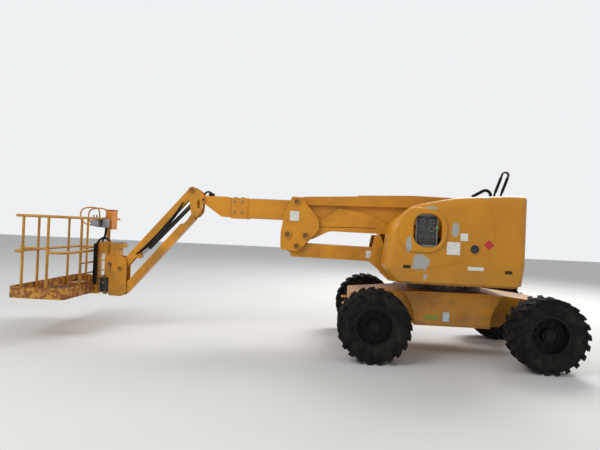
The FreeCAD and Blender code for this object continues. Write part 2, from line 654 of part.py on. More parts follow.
def cheek_outline():
    """A turret cheek from the side, with its horn ahead of the arms."""
    return [("-cheek_rear", "deck_top"), ("-cheek_rear", "cheek_top - 40", "40"),
            ("lower_pivot_x - 160", "cheek_top - 40"), ("lower_pivot_x", "cheek_top", "60"),
            ("cheek_nose_x - 190", "cheek_top"), ("cheek_nose_x - 140", "cheek_horn_top", "20"),
            ("cheek_nose_x - 58", "cheek_horn_top", "20"), ("cheek_nose_x", "deck_top + 187", "30"),
            ("deck_front", "deck_top")]


def turret_frame():
    """The deck on the slewing ring's upper race, with the cheeks, posts and ears that stand on it."""
    piece = Piece("turret_frame")
    race = "(chassis_top + slew_height + running_gap)"
    front, rear, wide, corner = "deck_front", "deck_rear", "deck_half_width", "deck_chamfer"
    deck = [(front, f"-{wide} + {corner}"), (front, f"{wide} - {corner}"), (f"{front} - {corner}", wide),
            (f"-{rear}", wide, "80"), (f"-{rear}", f"-{wide}", "80"), (f"{front} - {corner}", f"-{wide}")]
    piece.pad("XY", [deck], "deck_top - deck_thick", "deck_top")
    piece.pad("XY", [circle("0", "0", "turntable_radius")], race, "deck_top - deck_thick + 1")
    piece.pads("XZ", [cheek_outline()], "cheek_inner", "cheek_inner + cheek_thick")
    face = [("cheek_nose_x - 26", "deck_top + 178"), ("cheek_nose_x - 8", "deck_top + 178"),
            ("deck_front", "deck_top"), ("deck_front - 20", "deck_top")]
    piece.pad("XZ", [face], "-cheek_inner", "cheek_inner")
    piece.pad("XZ", [circle("lower_pivot_x", "lower_pivot_z", "pin_radius")],
              "-cheek_inner - cheek_thick - 10", "cheek_inner + cheek_thick + 10")
    for x in HINGES:
        post = box(f"{x} - hinge_post - side_gap", f"{x} - side_gap",
                   "hood_inner - hinge_post / 2", "hood_inner + hinge_post / 2")
        piece.pad("XY", [post], "deck_top - 1", "hood_hinge_z + 14")
        piece.pad("XY", [[(a, f"-({c})") for a, c in reversed(post)]], "deck_top - 1", "hood_hinge_z + 14")
        for side in ("1", "-1"):
            piece.pad("YZ", [circle(f"{side} * hood_inner", "hood_hinge_z", "hinge_pin_radius")],
                      f"{x} - side_gap - 2", f"{x} + 18")
    link_x, link_z = "(lower_pivot_x + link_dx)", "(lower_pivot_z + link_dz)"
    stand = [(f"{link_x} - 60", "deck_top"), (f"{link_x} + 60", "deck_top"),
             (f"{link_x} + 34", f"{link_z} + 34", "30"), (f"{link_x} - 34", f"{link_z} + 34", "30")]
    inner = "(link_outer + side_gap)"
    piece.pads("XZ", [stand], inner, f"{inner} + plate")
    piece.pads("XZ", [circle(link_x, link_z, "link_pin_radius")], "link_inner - 4", f"{inner} + plate")
    foot_x, foot_z = "(lower_pivot_x + ram_foot_dx)", "(lower_pivot_z + ram_foot_dz)"
    ear = [(f"{foot_x} - 70", "deck_top"), (f"{foot_x} + 70", "deck_top"),
           (f"{foot_x} + 30", f"{foot_z} + 34", "28"), (f"{foot_x} - 30", f"{foot_z} + 34", "28")]
    piece.pads("XZ", [ear], "barrel_radius + 3", "barrel_radius + 19")
    piece.pad("XZ", [circle(foot_x, foot_z, "ram_pin_radius")], "-barrel_radius - 18", "barrel_radius + 18")


def counterweight():
    """A cast block on the deck's rear edge."""
    piece = Piece("counterweight")
    outline = [("-ballast_rear", "deck_top"), ("-ballast_rear", "ballast_top", "90"),
               ("-cheek_rear - 3", "ballast_top", "30"), ("-cheek_rear - 3", "deck_top")]
    piece.pad("XZ", [outline], "-ballast_half_width", "ballast_half_width")


def plain_block(name, x, length, width, height, side):
    """A heavy thing under a hood, as one plain block."""
    piece = Piece(name)
    plan = box(f"{x} - {length} / 2", f"{x} + {length} / 2", f"{side} * block_y",
               f"{side} * (block_y + {width})")
    piece.pad("XY", [plan], "deck_top", f"deck_top + {height}")


def hood_outline(inset="0"):
    """A hood from the side, drawn in by the wall's thickness for its inside."""
    rear, top, front = f"-hood_tail + {inset}", f"hood_top - {inset}", f"hood_front - {inset}"
    return [(f"{rear} + 30", "hood_bottom"), (rear, "hood_bottom + 230", "160"), (f"{rear} + 4", top, "50"),
            ("-560", top, "400"), ("60", f"{top} - 44", "1200"), ("560", f"{top} - 150", "300"),
            (f"{front} - 60", f"{top} - 420", "220"), (front, "hood_bottom + 150", "120"),
            (f"{front} - 110", "hood_bottom")]


def in_plane(edge, y):
    """Whether an edge lies in the upright plane at a distance from the middle."""
    return abs(edge.BoundBox.YMin - y) < 0.5 and abs(edge.BoundBox.YMax - y) < 0.5


def hood(name, side, window):
    """A swing-up engine hood, open towards the machine's middle and below."""
    piece = Piece(name)
    piece.pad("XZ", [hood_outline()], f"{side} * hood_inner", f"{side} * hood_outer")
    outer = side * number("hood_outer")
    proud = outer + number("bulge_depth")
    above_hem = number("hood_bottom") + 1
    piece.fillet("hood_round", lambda e: in_plane(e, outer) and e.BoundBox.ZMax > above_hem)
    if window:
        rear, front = "(window_x - bulge_width / 2 + 100)", "(window_x + bulge_width / 2)"
        low, high = "(window_z - bulge_height / 2)", "(window_z + bulge_height / 2)"
        tight, wide = "bulge_width * 0.3", "bulge_width * 0.36"
        bulge = [(rear, low, wide), (front, low, tight), (front, high, tight), (rear, high, wide)]
        piece.pad("XZ", [bulge], f"{side} * (hood_outer - 40)", f"{side} * (hood_outer + bulge_depth)")
        piece.fillet("bulge_depth - 6", lambda e: in_plane(e, proud))
    hollow = hood_outline("hood_wall")
    piece.cut("XZ", [hollow], f"{side} * (hood_inner - 1)", f"{side} * (hood_outer - hood_wall)")
    if window:
        rear, front = "(window_x - window_width / 2)", "(window_x + window_width / 2)"
        low, high = "(window_z - window_height / 2)", "(window_z + window_height / 2)"
        hole = [(rear, low, "130"), (front, low, "160"), (front, high, "130"), (rear, high, "160")]
        inside = f"{side} * (hood_outer - hood_wall - 20)"
        piece.cut("XZ", [hole], inside, f"{side} * (hood_outer + bulge_depth + 5)")
        x, z = number("window_x"), number("window_z")
        half_wide, half_high = number("window_width") / 2 + 1, number("window_height") / 2 + 1
        piece.fillet("window_lip", lambda e: in_plane(e, proud)
                     and abs(e.BoundBox.Center.x - x) + e.BoundBox.XLength / 2 < half_wide
                     and abs(e.BoundBox.Center.z - z) + e.BoundBox.ZLength / 2 < half_high)
    for x, top in zip(HINGES, ("hood_top - 12", "hood_top - 46")):
        lug = box(f"{side} * (hood_inner - 20)", f"{side} * (hood_inner + 24)", "hood_hinge_z - 20", top)
        piece.pad("YZ", [lug], x, f"{x} + 12")
        hinge = circle(f"{side} * hood_inner", "hood_hinge_z", "hinge_pin_radius + pin_gap")
        piece.cut("YZ", [hinge], f"{x} - 1", f"{x} + 13")


def control_panel():
    """The ground control panel behind the window, on a bent bracket from the turret's cheek."""
    piece = Piece("control_panel")
    rear, front = "(window_x - panel_width / 2)", "(window_x + panel_width / 2)"
    low, high = "(window_z - panel_height / 2)", "(window_z + panel_height / 2)"
    plate = [(rear, low, "30"), (front, low, "30"), (front, high, "30"), (rear, high, "30")]
    back, bend = "(panel_face_y - panel_thick)", "(panel_face_y - panel_thick - 60)"
    piece.pad("XZ", [plate], back, "panel_face_y")
    shelf = box("window_x - 40", "window_x + 40", "cheek_top - 60", "cheek_top - 40")
    piece.pad("XZ", [shelf], "cheek_inner + cheek_thick", bend)
    riser = box("window_x - 40", "window_x + 40", bend, f"{bend} + 20")
    piece.pad("XY", [riser], "cheek_top - 60", "window_z - 160")
    arm = box("window_x - 40", "window_x + 40", "window_z - 180", "window_z - 160")
    piece.pad("XZ", [arm], bend, f"{back} + 1")


def lower_arm():
    """An inverted channel, open below, over its parallel link."""
    piece = Piece("lower_arm", "lower_pivot_x", "0", "lower_pivot_z", pitch=slope("lower_rise", "lower_run"))
    side = [("-lower_above - 30", "-lower_below + 60", "60"), ("-lower_above - 30", "lower_above", "40"),
            ("lower_length + lower_nose", "lower_above", "8"),
            ("lower_length + lower_nose", "-lower_below", "12"), ("60", "-lower_below", "60")]
    piece.pads("XZ", [side], "lower_half_width - plate", "lower_half_width")
    roof = box("-lower_above - 10", "lower_length + lower_nose - 8", "lower_above - plate", "lower_above")
    piece.pad("XZ", [roof], "-lower_half_width", "lower_half_width")
    for x in ("0", "lower_length"):
        boss = circle(x, "0", "boss_radius - 14")
        piece.pads("XZ", [boss], "lower_half_width - 40", "lower_half_width + 20")
    for x in ("0", "lower_length"):
        piece.bore("XZ", x, "0", "pin_radius + pin_gap", "-lower_half_width - 30", "lower_half_width + 30")
    lug = [("ram_eye_dx - 90", "lower_above - 2"), ("ram_eye_dx + 90", "lower_above - 2"),
           ("ram_eye_dx + 30", "ram_eye_dz - 34", "28"), ("ram_eye_dx - 30", "ram_eye_dz - 34", "28")]
    rod_eye_ears(piece, lug, "ram_eye_dx", "ram_eye_dz")


def rod_eye_ears(piece, outline, x, z, rod="rod_radius"):
    """Two ears with a pin head each; the rod's eye moves between them."""
    inner = f"({rod} + side_gap)"
    piece.pads("XZ", [outline], inner, f"{inner} + plate")
    piece.pads("XZ", [circle(x, z, f"{rod} - 6")], f"{inner} + 2", f"{inner} + plate + 8")


def lower_link():
    """The lower arm's parallel link, one bar each side of the cylinder."""
    piece = Piece("lower_link", "lower_pivot_x + link_dx", "0", "lower_pivot_z + link_dz",
                  pitch=slope("lower_rise", "lower_run"))
    half = "(link_height / 2)"
    piece.pads("XZ", [box("0", "lower_length", f"-{half}", half)], "link_inner", "link_outer")
    for at in ("0", "lower_length"):
        piece.pads("XZ", [circle(at, "0", f"{half} + 10")], "link_inner", "link_outer")
    for at in ("0", "lower_length"):
        piece.bore("XZ", at, "0", "link_pin_radius + pin_gap", "-link_outer - 1", "link_outer + 1")


def front_knuckle():
    """Two plates either side of the boom, joined by their pins and a web below the boom."""
    piece = Piece("front_knuckle", "arm_x", "0", "arm_z")
    plate = [("-28", "-68", "50"), ("224", "-54", "30"), ("232", "175", "120"), ("190", "441", "120"),
             ("87", "695", "20"), ("-71", "683", "30"), ("-117", "600", "80"), ("-293", "385", "60"),
             ("-306", "247", "60"), ("-174", "96", "60")]
    inner, outer = "knuckle_inner", "(knuckle_inner + knuckle_plate)"
    piece.pads("XZ", [plate], inner, outer)
    piece.pad("XZ", [circle("0", "0", "pin_radius")], f"-{outer} - 6", f"{outer} + 6")
    piece.pad("XZ", [circle("upper_pin_dx", "upper_pin_dz", "pin_radius")], f"-{outer} - 8", f"{outer} + 8")
    piece.pads("XZ", [circle("top_pin_dx", "top_pin_dz", "bar_pin_radius")], "bar_inner - 2", f"{outer} + 4")
    piece.pad("XZ", [circle("130", "162", "pin_radius + 6")], f"-{outer} - 8", f"{outer} + 8")
    web = [("200", "-40"), ("214", "-40"), ("214", "280"), ("200", "280")]
    piece.pad("XZ", [web], f"-{inner}", inner)
    inner_ear = "(link_outer + side_gap)"
    ear = [("link_dx - 32", "link_dz - 8", "20"), ("link_dx - 20", "link_dz + 30", "20"), ("201", "40"),
           ("201", "-40"), ("link_dx + 40", "link_dz - 26", "30"), ("link_dx - 10", "link_dz - 30", "20")]
    piece.pads("XZ", [ear], inner_ear, f"{inner_ear} + plate")
    link_pin = circle("link_dx", "link_dz", "link_pin_radius")
    piece.pads("XZ", [link_pin], "link_inner - 4", f"{inner_ear} + plate")


def upper_arm():
    """Two box rails under the boom, with leaf-shaped plates that rise beside it near the knuckle."""
    piece = Piece("upper_arm", "upper_x", "0", "upper_z", pitch=slope("-upper_rise", "upper_run"))
    rear = "-upper_length"
    rail = [("52", "-20", "36"), ("30", "48", "30"), ("-165", "196", "30"), ("-334", "182", "300"),
            ("-1174", "145", "600"), (f"{rear} - 50", "56", "40"), (f"{rear} - 50", "-46", "40"),
            ("-1174", "27", "600"), ("-334", "66", "160"), ("-90", "-50", "60"), ("40", "-52", "30")]
    piece.pads("XZ", [rail], "rail_inner", "rail_outer")
    leaf = [("-165", "150"), ("-165", "196"), ("-340", "295", "80"), ("-464", "386", "100"),
            ("-815", "325", "400"), ("-1180", "150"), ("-1174", "100"), ("-334", "120")]
    piece.pads("XZ", [leaf], "rail_outer - leaf_thick", "rail_outer")
    for x in ("0", rear):
        piece.pads("XZ", [circle(x, "0", "boss_radius - 8")], "rail_inner", "rail_outer + 6")
    for x in ("0", rear):
        piece.bore("XZ", x, "0", "pin_radius + pin_gap", "-rail_outer - 10", "rail_outer + 10")
    piece.pad("XZ", [box("-240", "-190", "90", "160")], "-rail_inner - 1", "rail_inner + 1")
    piece.pad("XZ", [box("-1020", "-960", "50", "120")], "-rail_inner - 1", "rail_inner + 1")


def top_links():
    """The upper arm's two parallel bars, one each side of the boom."""
    piece = Piece("top_links", "top_x", "0", "top_z", pitch=slope("-upper_rise", "upper_run"))
    rear = "-upper_length"
    bar = [("42", "-38", "30"), ("42", "44", "30"), ("-100", "74", "200"), ("-840", "82"), ("-860", "94"),
           ("-1600", "94", "300"), (f"{rear} - 46", "50", "40"), (f"{rear} - 46", "-50", "40"),
           ("-1600", "-74", "300"), ("-100", "-40", "200")]
    piece.pads("XZ", [bar], "bar_inner", "bar_outer")
    for x in ("0", rear):
        piece.bore("XZ", x, "0", "bar_pin_radius + pin_gap", "-bar_outer - 10", "bar_outer + 10")


def rear_upright():
    """Two plates that carry the boom's pin above the upper arm's."""
    piece = Piece("rear_upright", "back_x", "0", "back_z")
    top_dx, top_dz = "(top_pin_dx - upper_pin_dx)", "(top_pin_dz - upper_pin_dz)"
    plate = [("-55", "-150", "40"), ("130", "-150", "60"), ("130", "-60", "60"), ("80", "260", "80"),
             (f"{top_dx} + 60", f"{top_dz} - 60", "50"), (f"{top_dx} + 50", f"{top_dz} + 48", "50"),
             ("boom_pin_dx - 30", "boom_pin_dz + 90", "60"),
             ("boom_pin_dx - 150", "boom_pin_dz + 60", "40"),
             ("boom_pin_dx - 140", "boom_pin_dz - 40", "40"), ("-95", "90", "60")]
    inner, outer = "upright_inner", "(upright_inner + upright_plate)"
    piece.pads("XZ", [plate], inner, outer)
    piece.pad("XZ", [circle("0", "0", "pin_radius")], f"-{outer} - 6", f"{outer} + 6")
    piece.pads("XZ", [circle(top_dx, top_dz, "bar_pin_radius")], "bar_inner - 2", f"{outer} + 4")
    boom_pin = circle("boom_pin_dx", "boom_pin_dz", "boom_pin_radius")
    piece.pad("XZ", [boom_pin], f"-{outer} - 6", f"{outer} + 6")
    piece.pad("XZ", [box("-80", "-62", "-120", "60")], f"-{inner} - 1", f"{inner} + 1")
    ear_inner = "(boom_barrel_radius + side_gap)"
    ear = [("-64", "-118"), ("boom_ram_dx - 30", "boom_ram_dz - 34", "20"),
           ("boom_ram_dx + 30", "boom_ram_dz - 34", "26"), ("boom_ram_dx + 34", "boom_ram_dz + 34", "30"),
           ("-20", "30", "20"), ("-64", "50")]
    piece.pads("XZ", [ear], ear_inner, f"{ear_inner} + plate")
    piece.pad("XZ", [circle("boom_ram_dx", "boom_ram_dz", "boom_ram_pin_radius")],
              f"-{ear_inner} - plate - 5", f"{ear_inner} + plate + 5")


def around(wide, up, down, wall):
    """A boom's square section, grown or shrunk on every side by a wall with its sign."""
    return box(f"-({wide} {wall})", f"{wide} {wall}", f"-({down} {wall})", f"{up} {wall}")


def boom_outer():
    """The outer boom: a square tube with a collar of wear pads at its mouth."""
    piece = Piece("boom_outer", "boom_x", "0", "boom_z")
    wide, up, down = "boom_half_width", "boom_above", "boom_below"
    outside = [(f"-{wide}", f"-{down}", "14"), (wide, f"-{down}", "14"), (wide, up, "14"),
               (f"-{wide}", up, "14")]
    inside = around(wide, up, down, "- boom_wall")
    piece.pad("YZ", [outside, inside], "-boom_tail", "boom_length")
    piece.pad("YZ", [outside], "-boom_tail", "-boom_tail + 10")
    sleeve = around(wide, f"{up} - 4", down, "+ collar_thick")
    piece.pad("YZ", [sleeve, around(wide, up, down, "- 2")], "boom_length - collar_length", "boom_length + 6")
    piece.pad("XZ", [circle("0", "0", "boom_pin_radius + 18")], f"-{wide} - 12", f"{wide} + 12")
    piece.bore("XZ", "0", "0", "boom_pin_radius + pin_gap", f"-{wide} - 20", f"{wide} + 20")
    lug = [("boom_eye_dx - 90", f"-{down} + 1"), ("boom_eye_dx + 90", f"-{down} + 1"),
           ("boom_eye_dx + 36", f"-{down} - boom_eye_drop - 38", "36"),
           ("boom_eye_dx - 36", f"-{down} - boom_eye_drop - 38", "36")]
    rod_eye_ears(piece, lug, "boom_eye_dx", f"-{down} - boom_eye_drop")
    pad_in = "(inner_gap - pad_gap)"
    pad_rear, pad_front = "(boom_length - pad_length)", "(boom_length - 4)"
    for y in (1, -1):
        for z, sign in ((f"(-{down} + boom_wall)", 1), (f"({up} - boom_wall)", -1)):
            top = box(pad_rear, pad_front, f"{y} * 30", f"{y} * (30 + pad_width)")
            piece.pad("XY", [top], f"{z} - {sign}", f"{z} + {sign} * {pad_in}")
        side = box(pad_rear, pad_front, f"-{down} + 60", f"-{down} + 60 + pad_width")
        piece.pad("XZ", [side], f"{y} * ({wide} - boom_wall + 1)", f"{y} * ({wide} - boom_wall - {pad_in})")


def boom_inner():
    """The inner boom and its head, two tapering cheeks that hold the jib bracket's pin."""
    piece = Piece("boom_inner", "boom_x", "0", "boom_z")
    wide = "(boom_half_width - boom_wall - inner_gap)"
    up, down = "(boom_above - boom_wall - inner_gap)", "(boom_below - boom_wall - inner_gap)"
    outside = [(f"-{wide}", f"-{down}"), (wide, f"-{down}"), (wide, up), (f"-{wide}", up)]
    inside = [(f"-{wide} + inner_wall", f"-{down} + inner_wall"),
              (f"{wide} - inner_wall", f"-{down} + inner_wall"),
              (f"{wide} - inner_wall", f"{up} - inner_wall"),
              (f"-{wide} + inner_wall", f"{up} - inner_wall")]
    piece.pad("YZ", [outside, inside], "inner_rear", "boom_length + 40")
    start = "(boom_length + 14)"
    cheek = [(start, f"-{down} - 12"), (f"{start} + 130", f"-{down} - 12", "30"),
             ("boom_length + nose_pin_dx + 6", "nose_pin_dz - 44", "36"),
             ("boom_length + nose_pin_dx + 30", "nose_pin_dz + 10", "30"),
             ("boom_length + nose_pin_dx - 20", "boom_above + 16", "24"),
             (f"{start} + 60", "boom_above + 18", "40"), (start, "boom_above + 4")]
    piece.pads("XZ", [cheek], "nose_half_width - nose_plate", "nose_half_width")
    plate = box(start, f"{start} + 14", f"-{down} - 12", "boom_above + 4")
    piece.pad("XZ", [plate], "-nose_half_width", "nose_half_width")
    roof = [(start, "boom_above - 10"), (start, "boom_above + 4"), (f"{start} + 60", "boom_above + 18"),
            (f"{start} + 250", "boom_above + 17"), (f"{start} + 250", "boom_above + 5"),
            (f"{start} + 60", "boom_above + 5")]
    piece.pad("XZ", [roof], "-nose_half_width", "nose_half_width")
    piece.pads("XZ", [circle("boom_length + nose_pin_dx", "nose_pin_dz", "nose_pin_radius")],
               "bracket_outer - bracket_plate - 4", "nose_half_width + 6")


def jib_bracket():
    """The levelled bracket at the boom's head, with the jib's and the link's pins."""
    piece = Piece("jib_bracket", "nose_x", "0", "nose_z")
    low_x, low_z = "(jib_pin_dx + jib_link_dx)", "(jib_pin_dz + jib_link_dz)"
    plate = [("-44", "20", "36"), ("60", "120", "80"), ("jib_pin_dx - 30", "jib_pin_dz + 44", "40"),
             ("jib_pin_dx + 44", "jib_pin_dz + 50", "46"), ("jib_pin_dx + 46", "jib_pin_dz - 60", "80"),
             (f"{low_x} + 44", f"{low_z} + 20", "60"), (f"{low_x} + 30", f"{low_z} - 44", "36"),
             (f"{low_x} - 44", f"{low_z} - 40", "40"), ("40", "-180", "40"), ("30", "-50", "20"),
             ("-40", "-40", "30")]
    inner, outer = "(bracket_outer - bracket_plate)", "bracket_outer"
    piece.pads("XZ", [plate], inner, outer)
    opening = [("70", "-130", "14"), ("100", "-120", "14"), ("108", "-6", "14"), ("64", "-6", "14")]
    piece.cut("XZ", [opening], f"-{outer} - 1", f"{outer} + 1")
    piece.cut("XZ", [circle("0", "0", "nose_pin_radius + pin_gap")], f"-{outer} - 1", f"{outer} + 1")
    for x, z in (("jib_pin_dx", "jib_pin_dz"), (low_x, low_z)):
        piece.pad("XZ", [circle(x, z, "jib_pin_radius")], f"-{outer} - 5", f"{outer} + 5")
    piece.pad("XZ", [circle("jib_pin_dx + jib_ram_dx", "jib_pin_dz + jib_ram_dz", "jib_ram_pin_radius")],
              f"-{outer} - 3", f"{outer} + 3")
    piece.pad("XZ", [circle("60", "40", "20")], f"-{outer} + 1", f"{outer} - 1")


def jib_arm():
    """A channel, open below, that the cylinder sinks into at both ends of its swing."""
    piece = Piece("jib_arm", "jib_x", "0", "jib_z", pitch=slope("-jib_drop", "jib_run"))
    low, high, wide = "(-jib_half_height)", "(jib_half_height + 6)", "jib_half_width"
    inside = "(jib_half_width - jib_wall)"
    section = [(f"-{wide}", low), (f"-{inside}", low), (f"-{inside}", f"{high} - jib_wall"),
               (inside, f"{high} - jib_wall"), (inside, low), (wide, low), (wide, high, "10"),
               (f"-{wide}", high, "10")]
    piece.pad("YZ", [section], "40", "jib_length - 60")
    top = [("-46", "-36", "30"), ("-46", "50", "40"), ("60", high), ("90", high), ("90", "-36")]
    piece.pad("XZ", [top], f"-{wide}", wide)
    foot = [("jib_length - 80", low), ("jib_length - 80", high), ("jib_length - 20", "46"),
            ("jib_length + 40", "34", "30"), ("jib_length + 40", "-36", "30"), ("jib_length - 20", "-42")]
    piece.pad("XZ", [foot], f"-{wide}", wide)
    for x in ("0", "jib_length"):
        piece.bore("XZ", x, "0", "jib_pin_radius + pin_gap", f"-{wide} - 1", f"{wide} + 1")
    eye_x, eye_z = "(jib_length - jib_eye_back)", f"({low} - jib_eye_drop)"
    lug = [(f"{eye_x} - 60", f"{low} + 20"), (f"{eye_x} + 60", f"{low} + 20"),
           (f"{eye_x} + 22", f"{eye_z} - 24", "22"), (f"{eye_x} - 22", f"{eye_z} - 24", "22")]
    ear = "(jib_rod_radius + side_gap)"
    piece.pads("XZ", [lug], ear, f"{inside} + 1")
    piece.pads("XZ", [circle(eye_x, eye_z, "jib_rod_radius - 6")], f"{ear} + 2", f"{inside} + 8")


def jib_link():
    """The jib's parallel link, a channel that the cylinder sinks into at the end of its swing."""
    piece = Piece("jib_link", "jib_low_x", "0", "jib_low_z", pitch=slope("-jib_drop", "jib_run"))
    half, wide, wall = "jib_link_half_height", "jib_link_half_width", "jib_link_plate"
    side = [("-38", "-34", "30"), ("-38", "34", "30"), ("60", "34"), ("110", "24", "20"), ("200", "24", "20"),
            ("240", half), ("jib_length - 60", half), ("jib_length + 38", "34", "30"),
            ("jib_length + 38", "-34", "30"), ("jib_length - 60", f"-{half}"), ("60", f"-{half}")]
    piece.pads("XZ", [side], f"{wide} - {wall}", wide)
    piece.pad("XZ", [box("60", "jib_length - 60", f"-{half}", f"-{half} + {wall}")], f"-{wide}", wide)
    for x in ("0", "jib_length"):
        piece.bore("XZ", x, "0", "jib_pin_radius + pin_gap", f"-{wide} - 1", f"{wide} + 1")


def jib_head():
    """Two plates at the jib's foot that hold the rotary actuator upright."""
    piece = Piece("jib_head", "head_x", "0", "head_z")
    plate = [("-95", "100", "30"), ("-98", "-20", "40"), ("-98", "-200", "60"), ("-108", "-340", "60"),
             ("-44", "-406", "30"), ("158", "-404", "20"), ("160", "-150", "20"), ("230", "-100", "20"),
             ("230", "190", "12"), ("176", "190", "10"), ("-60", "172", "50")]
    inner, outer = "(head_outer - head_plate)", "head_outer"
    piece.pads("XZ", [plate], inner, outer)
    opening = [("150", "-100", "20"), ("186", "-60", "20"), ("186", "104", "20"), ("120", "70", "30")]
    piece.cut("XZ", [opening], f"-{outer} - 1", f"{outer} + 1")
    piece.pad("XZ", [box("144", "158", "-400", "-154")], f"-{inner} - 1", f"{inner} + 1")
    piece.pad("XZ", [box("200", "228", "40", "180")], f"-{inner} - 1", f"{inner} + 1")
    piece.pad("XZ", [box("22", "163", "140", "296")], f"-{inner} - 1", f"{inner} + 1")
    cap = [("-34", "295", "8"), ("163", "295", "8"), ("163", "366", "30"), ("-50", "366", "20")]
    piece.pad("XZ", [cap], f"-{inner}", inner)
    piece.pad("XZ", [circle("0", "0", "jib_pin_radius")], f"-{outer} - 5", f"{outer} + 5")
    piece.pads("XZ", [circle("jib_link_dx", "jib_link_dz", "jib_pin_radius")],
               "jib_link_half_width - jib_link_plate - 2", f"{outer} + 5")


def rotator():
    """The rotary actuator that turns the basket."""
    piece = Piece("rotator", "turn_x", "0", "head_z + rotator_bottom_dz")
    piece.pad("XY", [circle("0", "0", "rotator_radius")], "0", "rotator_height")
    piece.pad("XY", [box("-turn_axis_dx + 158.5", "-20", "-62", "62")], "20", "rotator_height - 20")
    piece.pad("XY", [circle("0", "0", "34")], "-40", "rotator_height + 40")


def basket_bracket():
    """The post that carries the basket, with an ear above and below the rotary actuator."""
    piece = Piece("basket_bracket", "turn_x", "0", "head_z + rotator_bottom_dz")
    near, far, wide = "post_gap", "(basket_gap - pin_gap)", "post_half_width"
    outside = box(near, far, f"-{wide}", wide)
    inside = box(f"{near} + 10", f"{far} - 10", f"-{wide} + 10", f"{wide} - 10")
    under = "(-floor_drop - rotator_bottom_dz - pin_gap)"
    piece.pad("XY", [outside, inside], f"{under} - 16", "post_height")
    piece.pad("XY", [box(near, "basket_gap + basket_depth / 2", f"-{wide}", wide)], f"{under} - 16", under)
    for z in ("-20", "rotator_height + 4"):
        piece.pad("XY", [[("0", f"-{wide} + 5"), (f"{near} + 1", f"-{wide}"), (f"{near} + 1", wide),
                          ("0", f"{wide} - 5")], ], z, f"{z} + 16")
        piece.pad("XY", [circle("0", "0", "50")], z, f"{z} + 16")
    piece.bore("XY", "0", "0", "34 + pin_gap", "-30", "rotator_height + 30")
    swivel_foot, swivel_top = "(rotator_height + 356)", "(rotator_height + 530)"
    piece.pad("XY", [circle("0", "0", "66")], swivel_foot, swivel_top)
    piece.pad("XY", [box("0", f"{near} + 1", "-50", "50")], f"{swivel_foot} + 16", f"{swivel_top} - 16")


def basket_floor():
    """The basket's floor with its toe boards."""
    piece = Piece("basket_floor", "basket_x", "0", "floor_z")
    deep, wide, t = "basket_depth", "basket_half_width", "toe_thick"
    outside = [("0", f"-{wide}", "60"), (deep, f"-{wide}", "60"), (deep, wide, "60"), ("0", wide, "60")]
    inside = [(t, f"-{wide} + {t}", "54"), (f"{deep} - {t}", f"-{wide} + {t}", "54"),
              (f"{deep} - {t}", f"{wide} - {t}", "54"), (t, f"{wide} - {t}", "54")]
    piece.pad("XY", [outside], "0", "floor_thick")
    piece.pad("XY", [outside, inside], "floor_thick - 1", "toe_height")


POSTS = (
    # along the machine as a share of the depth, across it as a share of the half width
    (0.0, 0.50),
    (0.32, 1.0),
    (0.80, 1.0),
    (1.0, 0.33),
    (1.0, -0.62),
    (0.80, -1.0),
    (0.32, -1.0),
    (0.0, -0.50),
)


# the two posts beside the entry, along the machine as a share of the depth
ENTRY = (0.32, 0.80)


def entry_bar():
    """The bar across the entry, which slides up its two posts."""
    piece = Piece("entry_bar", "basket_x", "0", "floor_z")
    edge = "(rail_radius + toe_thick)"
    y = f"(basket_half_width - {edge})"
    ends = [f"({edge} + {share} * (basket_depth - 2 * {edge}))" for share in ENTRY]
    foot = "(mid_rail_height + rail_radius + pin_gap)"
    piece.pad("YZ", [circle(y, f"{foot} + 30", "bar_radius")], f"{ends[0]} + rail_radius",
              f"{ends[1]} - rail_radius")
    for x in ends:
        piece.pad("XY", [circle(x, y, "rail_radius + 6")], foot, f"{foot} + 60")
    for x in ends:
        piece.cut("XY", [circle(x, y, "rail_radius - 1 + pin_gap")], f"{foot} - 1", f"{foot} + 61")


def rail_loop(piece, height):
    """A rail round the basket, as one bent tube."""
    edge = "(rail_radius + toe_thick)"
    deep, wide = "basket_depth", "basket_half_width"
    path = piece.sketch("XY", [[(edge, f"-{wide} + {edge}", "rail_bend"),
                                (f"{deep} - {edge}", f"-{wide} + {edge}", "rail_bend"),
                                (f"{deep} - {edge}", f"{wide} - {edge}", "rail_bend"),
                                (edge, f"{wide} - {edge}", "rail_bend")]], height)
    ring = piece.sketch("XZ", [circle(edge, height, "rail_radius")])
    pipe = piece.feature("PartDesign::AdditivePipe", Profile=ring)
    pipe.Spine = path
    return pipe


def basket_rails():
    """Two rails round the basket on its posts; the lower one stops at the entry."""
    piece = Piece("basket_rails", "basket_x", "0", "floor_z")
    rail_loop(piece, "rail_height")
    rail_loop(piece, "mid_rail_height")
    edge = "(rail_radius + toe_thick)"
    first, last = (f"({edge} + {share} * (basket_depth - 2 * {edge}))" for share in ENTRY)
    piece.cut("XY", [box(first, last, f"basket_half_width - 2 * {edge}", "basket_half_width")],
              "mid_rail_height - 2 * rail_radius", "mid_rail_height + 2 * rail_radius")
    for along, across in POSTS:
        x = f"({edge} + {along} * (basket_depth - 2 * {edge}))"
        y = f"({across} * (basket_half_width - {edge}))"
        piece.pad("XY", [circle(x, y, "rail_radius - 1")], "floor_thick", "rail_height")


def control_console():
    """The platform control box on the rear rail, under its guard hoop."""
    piece = Piece("control_console", "basket_x", "0", "floor_z")
    under = "(rail_height - console_height - 12)"
    x0 = "(2 * rail_radius + toe_thick)"
    body = [(f"{x0} + 6", under), (f"{x0} + console_depth", f"{under} + 20", "16"),
            (f"{x0} + console_depth", f"{under} + console_height - 20", "20"),
            (f"{x0} + 6", f"{under} + console_height")]
    piece.pad("XZ", [body], "console_y - console_width / 2", "console_y + console_width / 2")
    hanger = box(f"{x0} + pin_gap", f"{x0} + 7", under, "rail_height + rail_radius")
    piece.pad("XZ", [hanger], "console_y - console_width / 2 + 20", "console_y + console_width / 2 - 20")


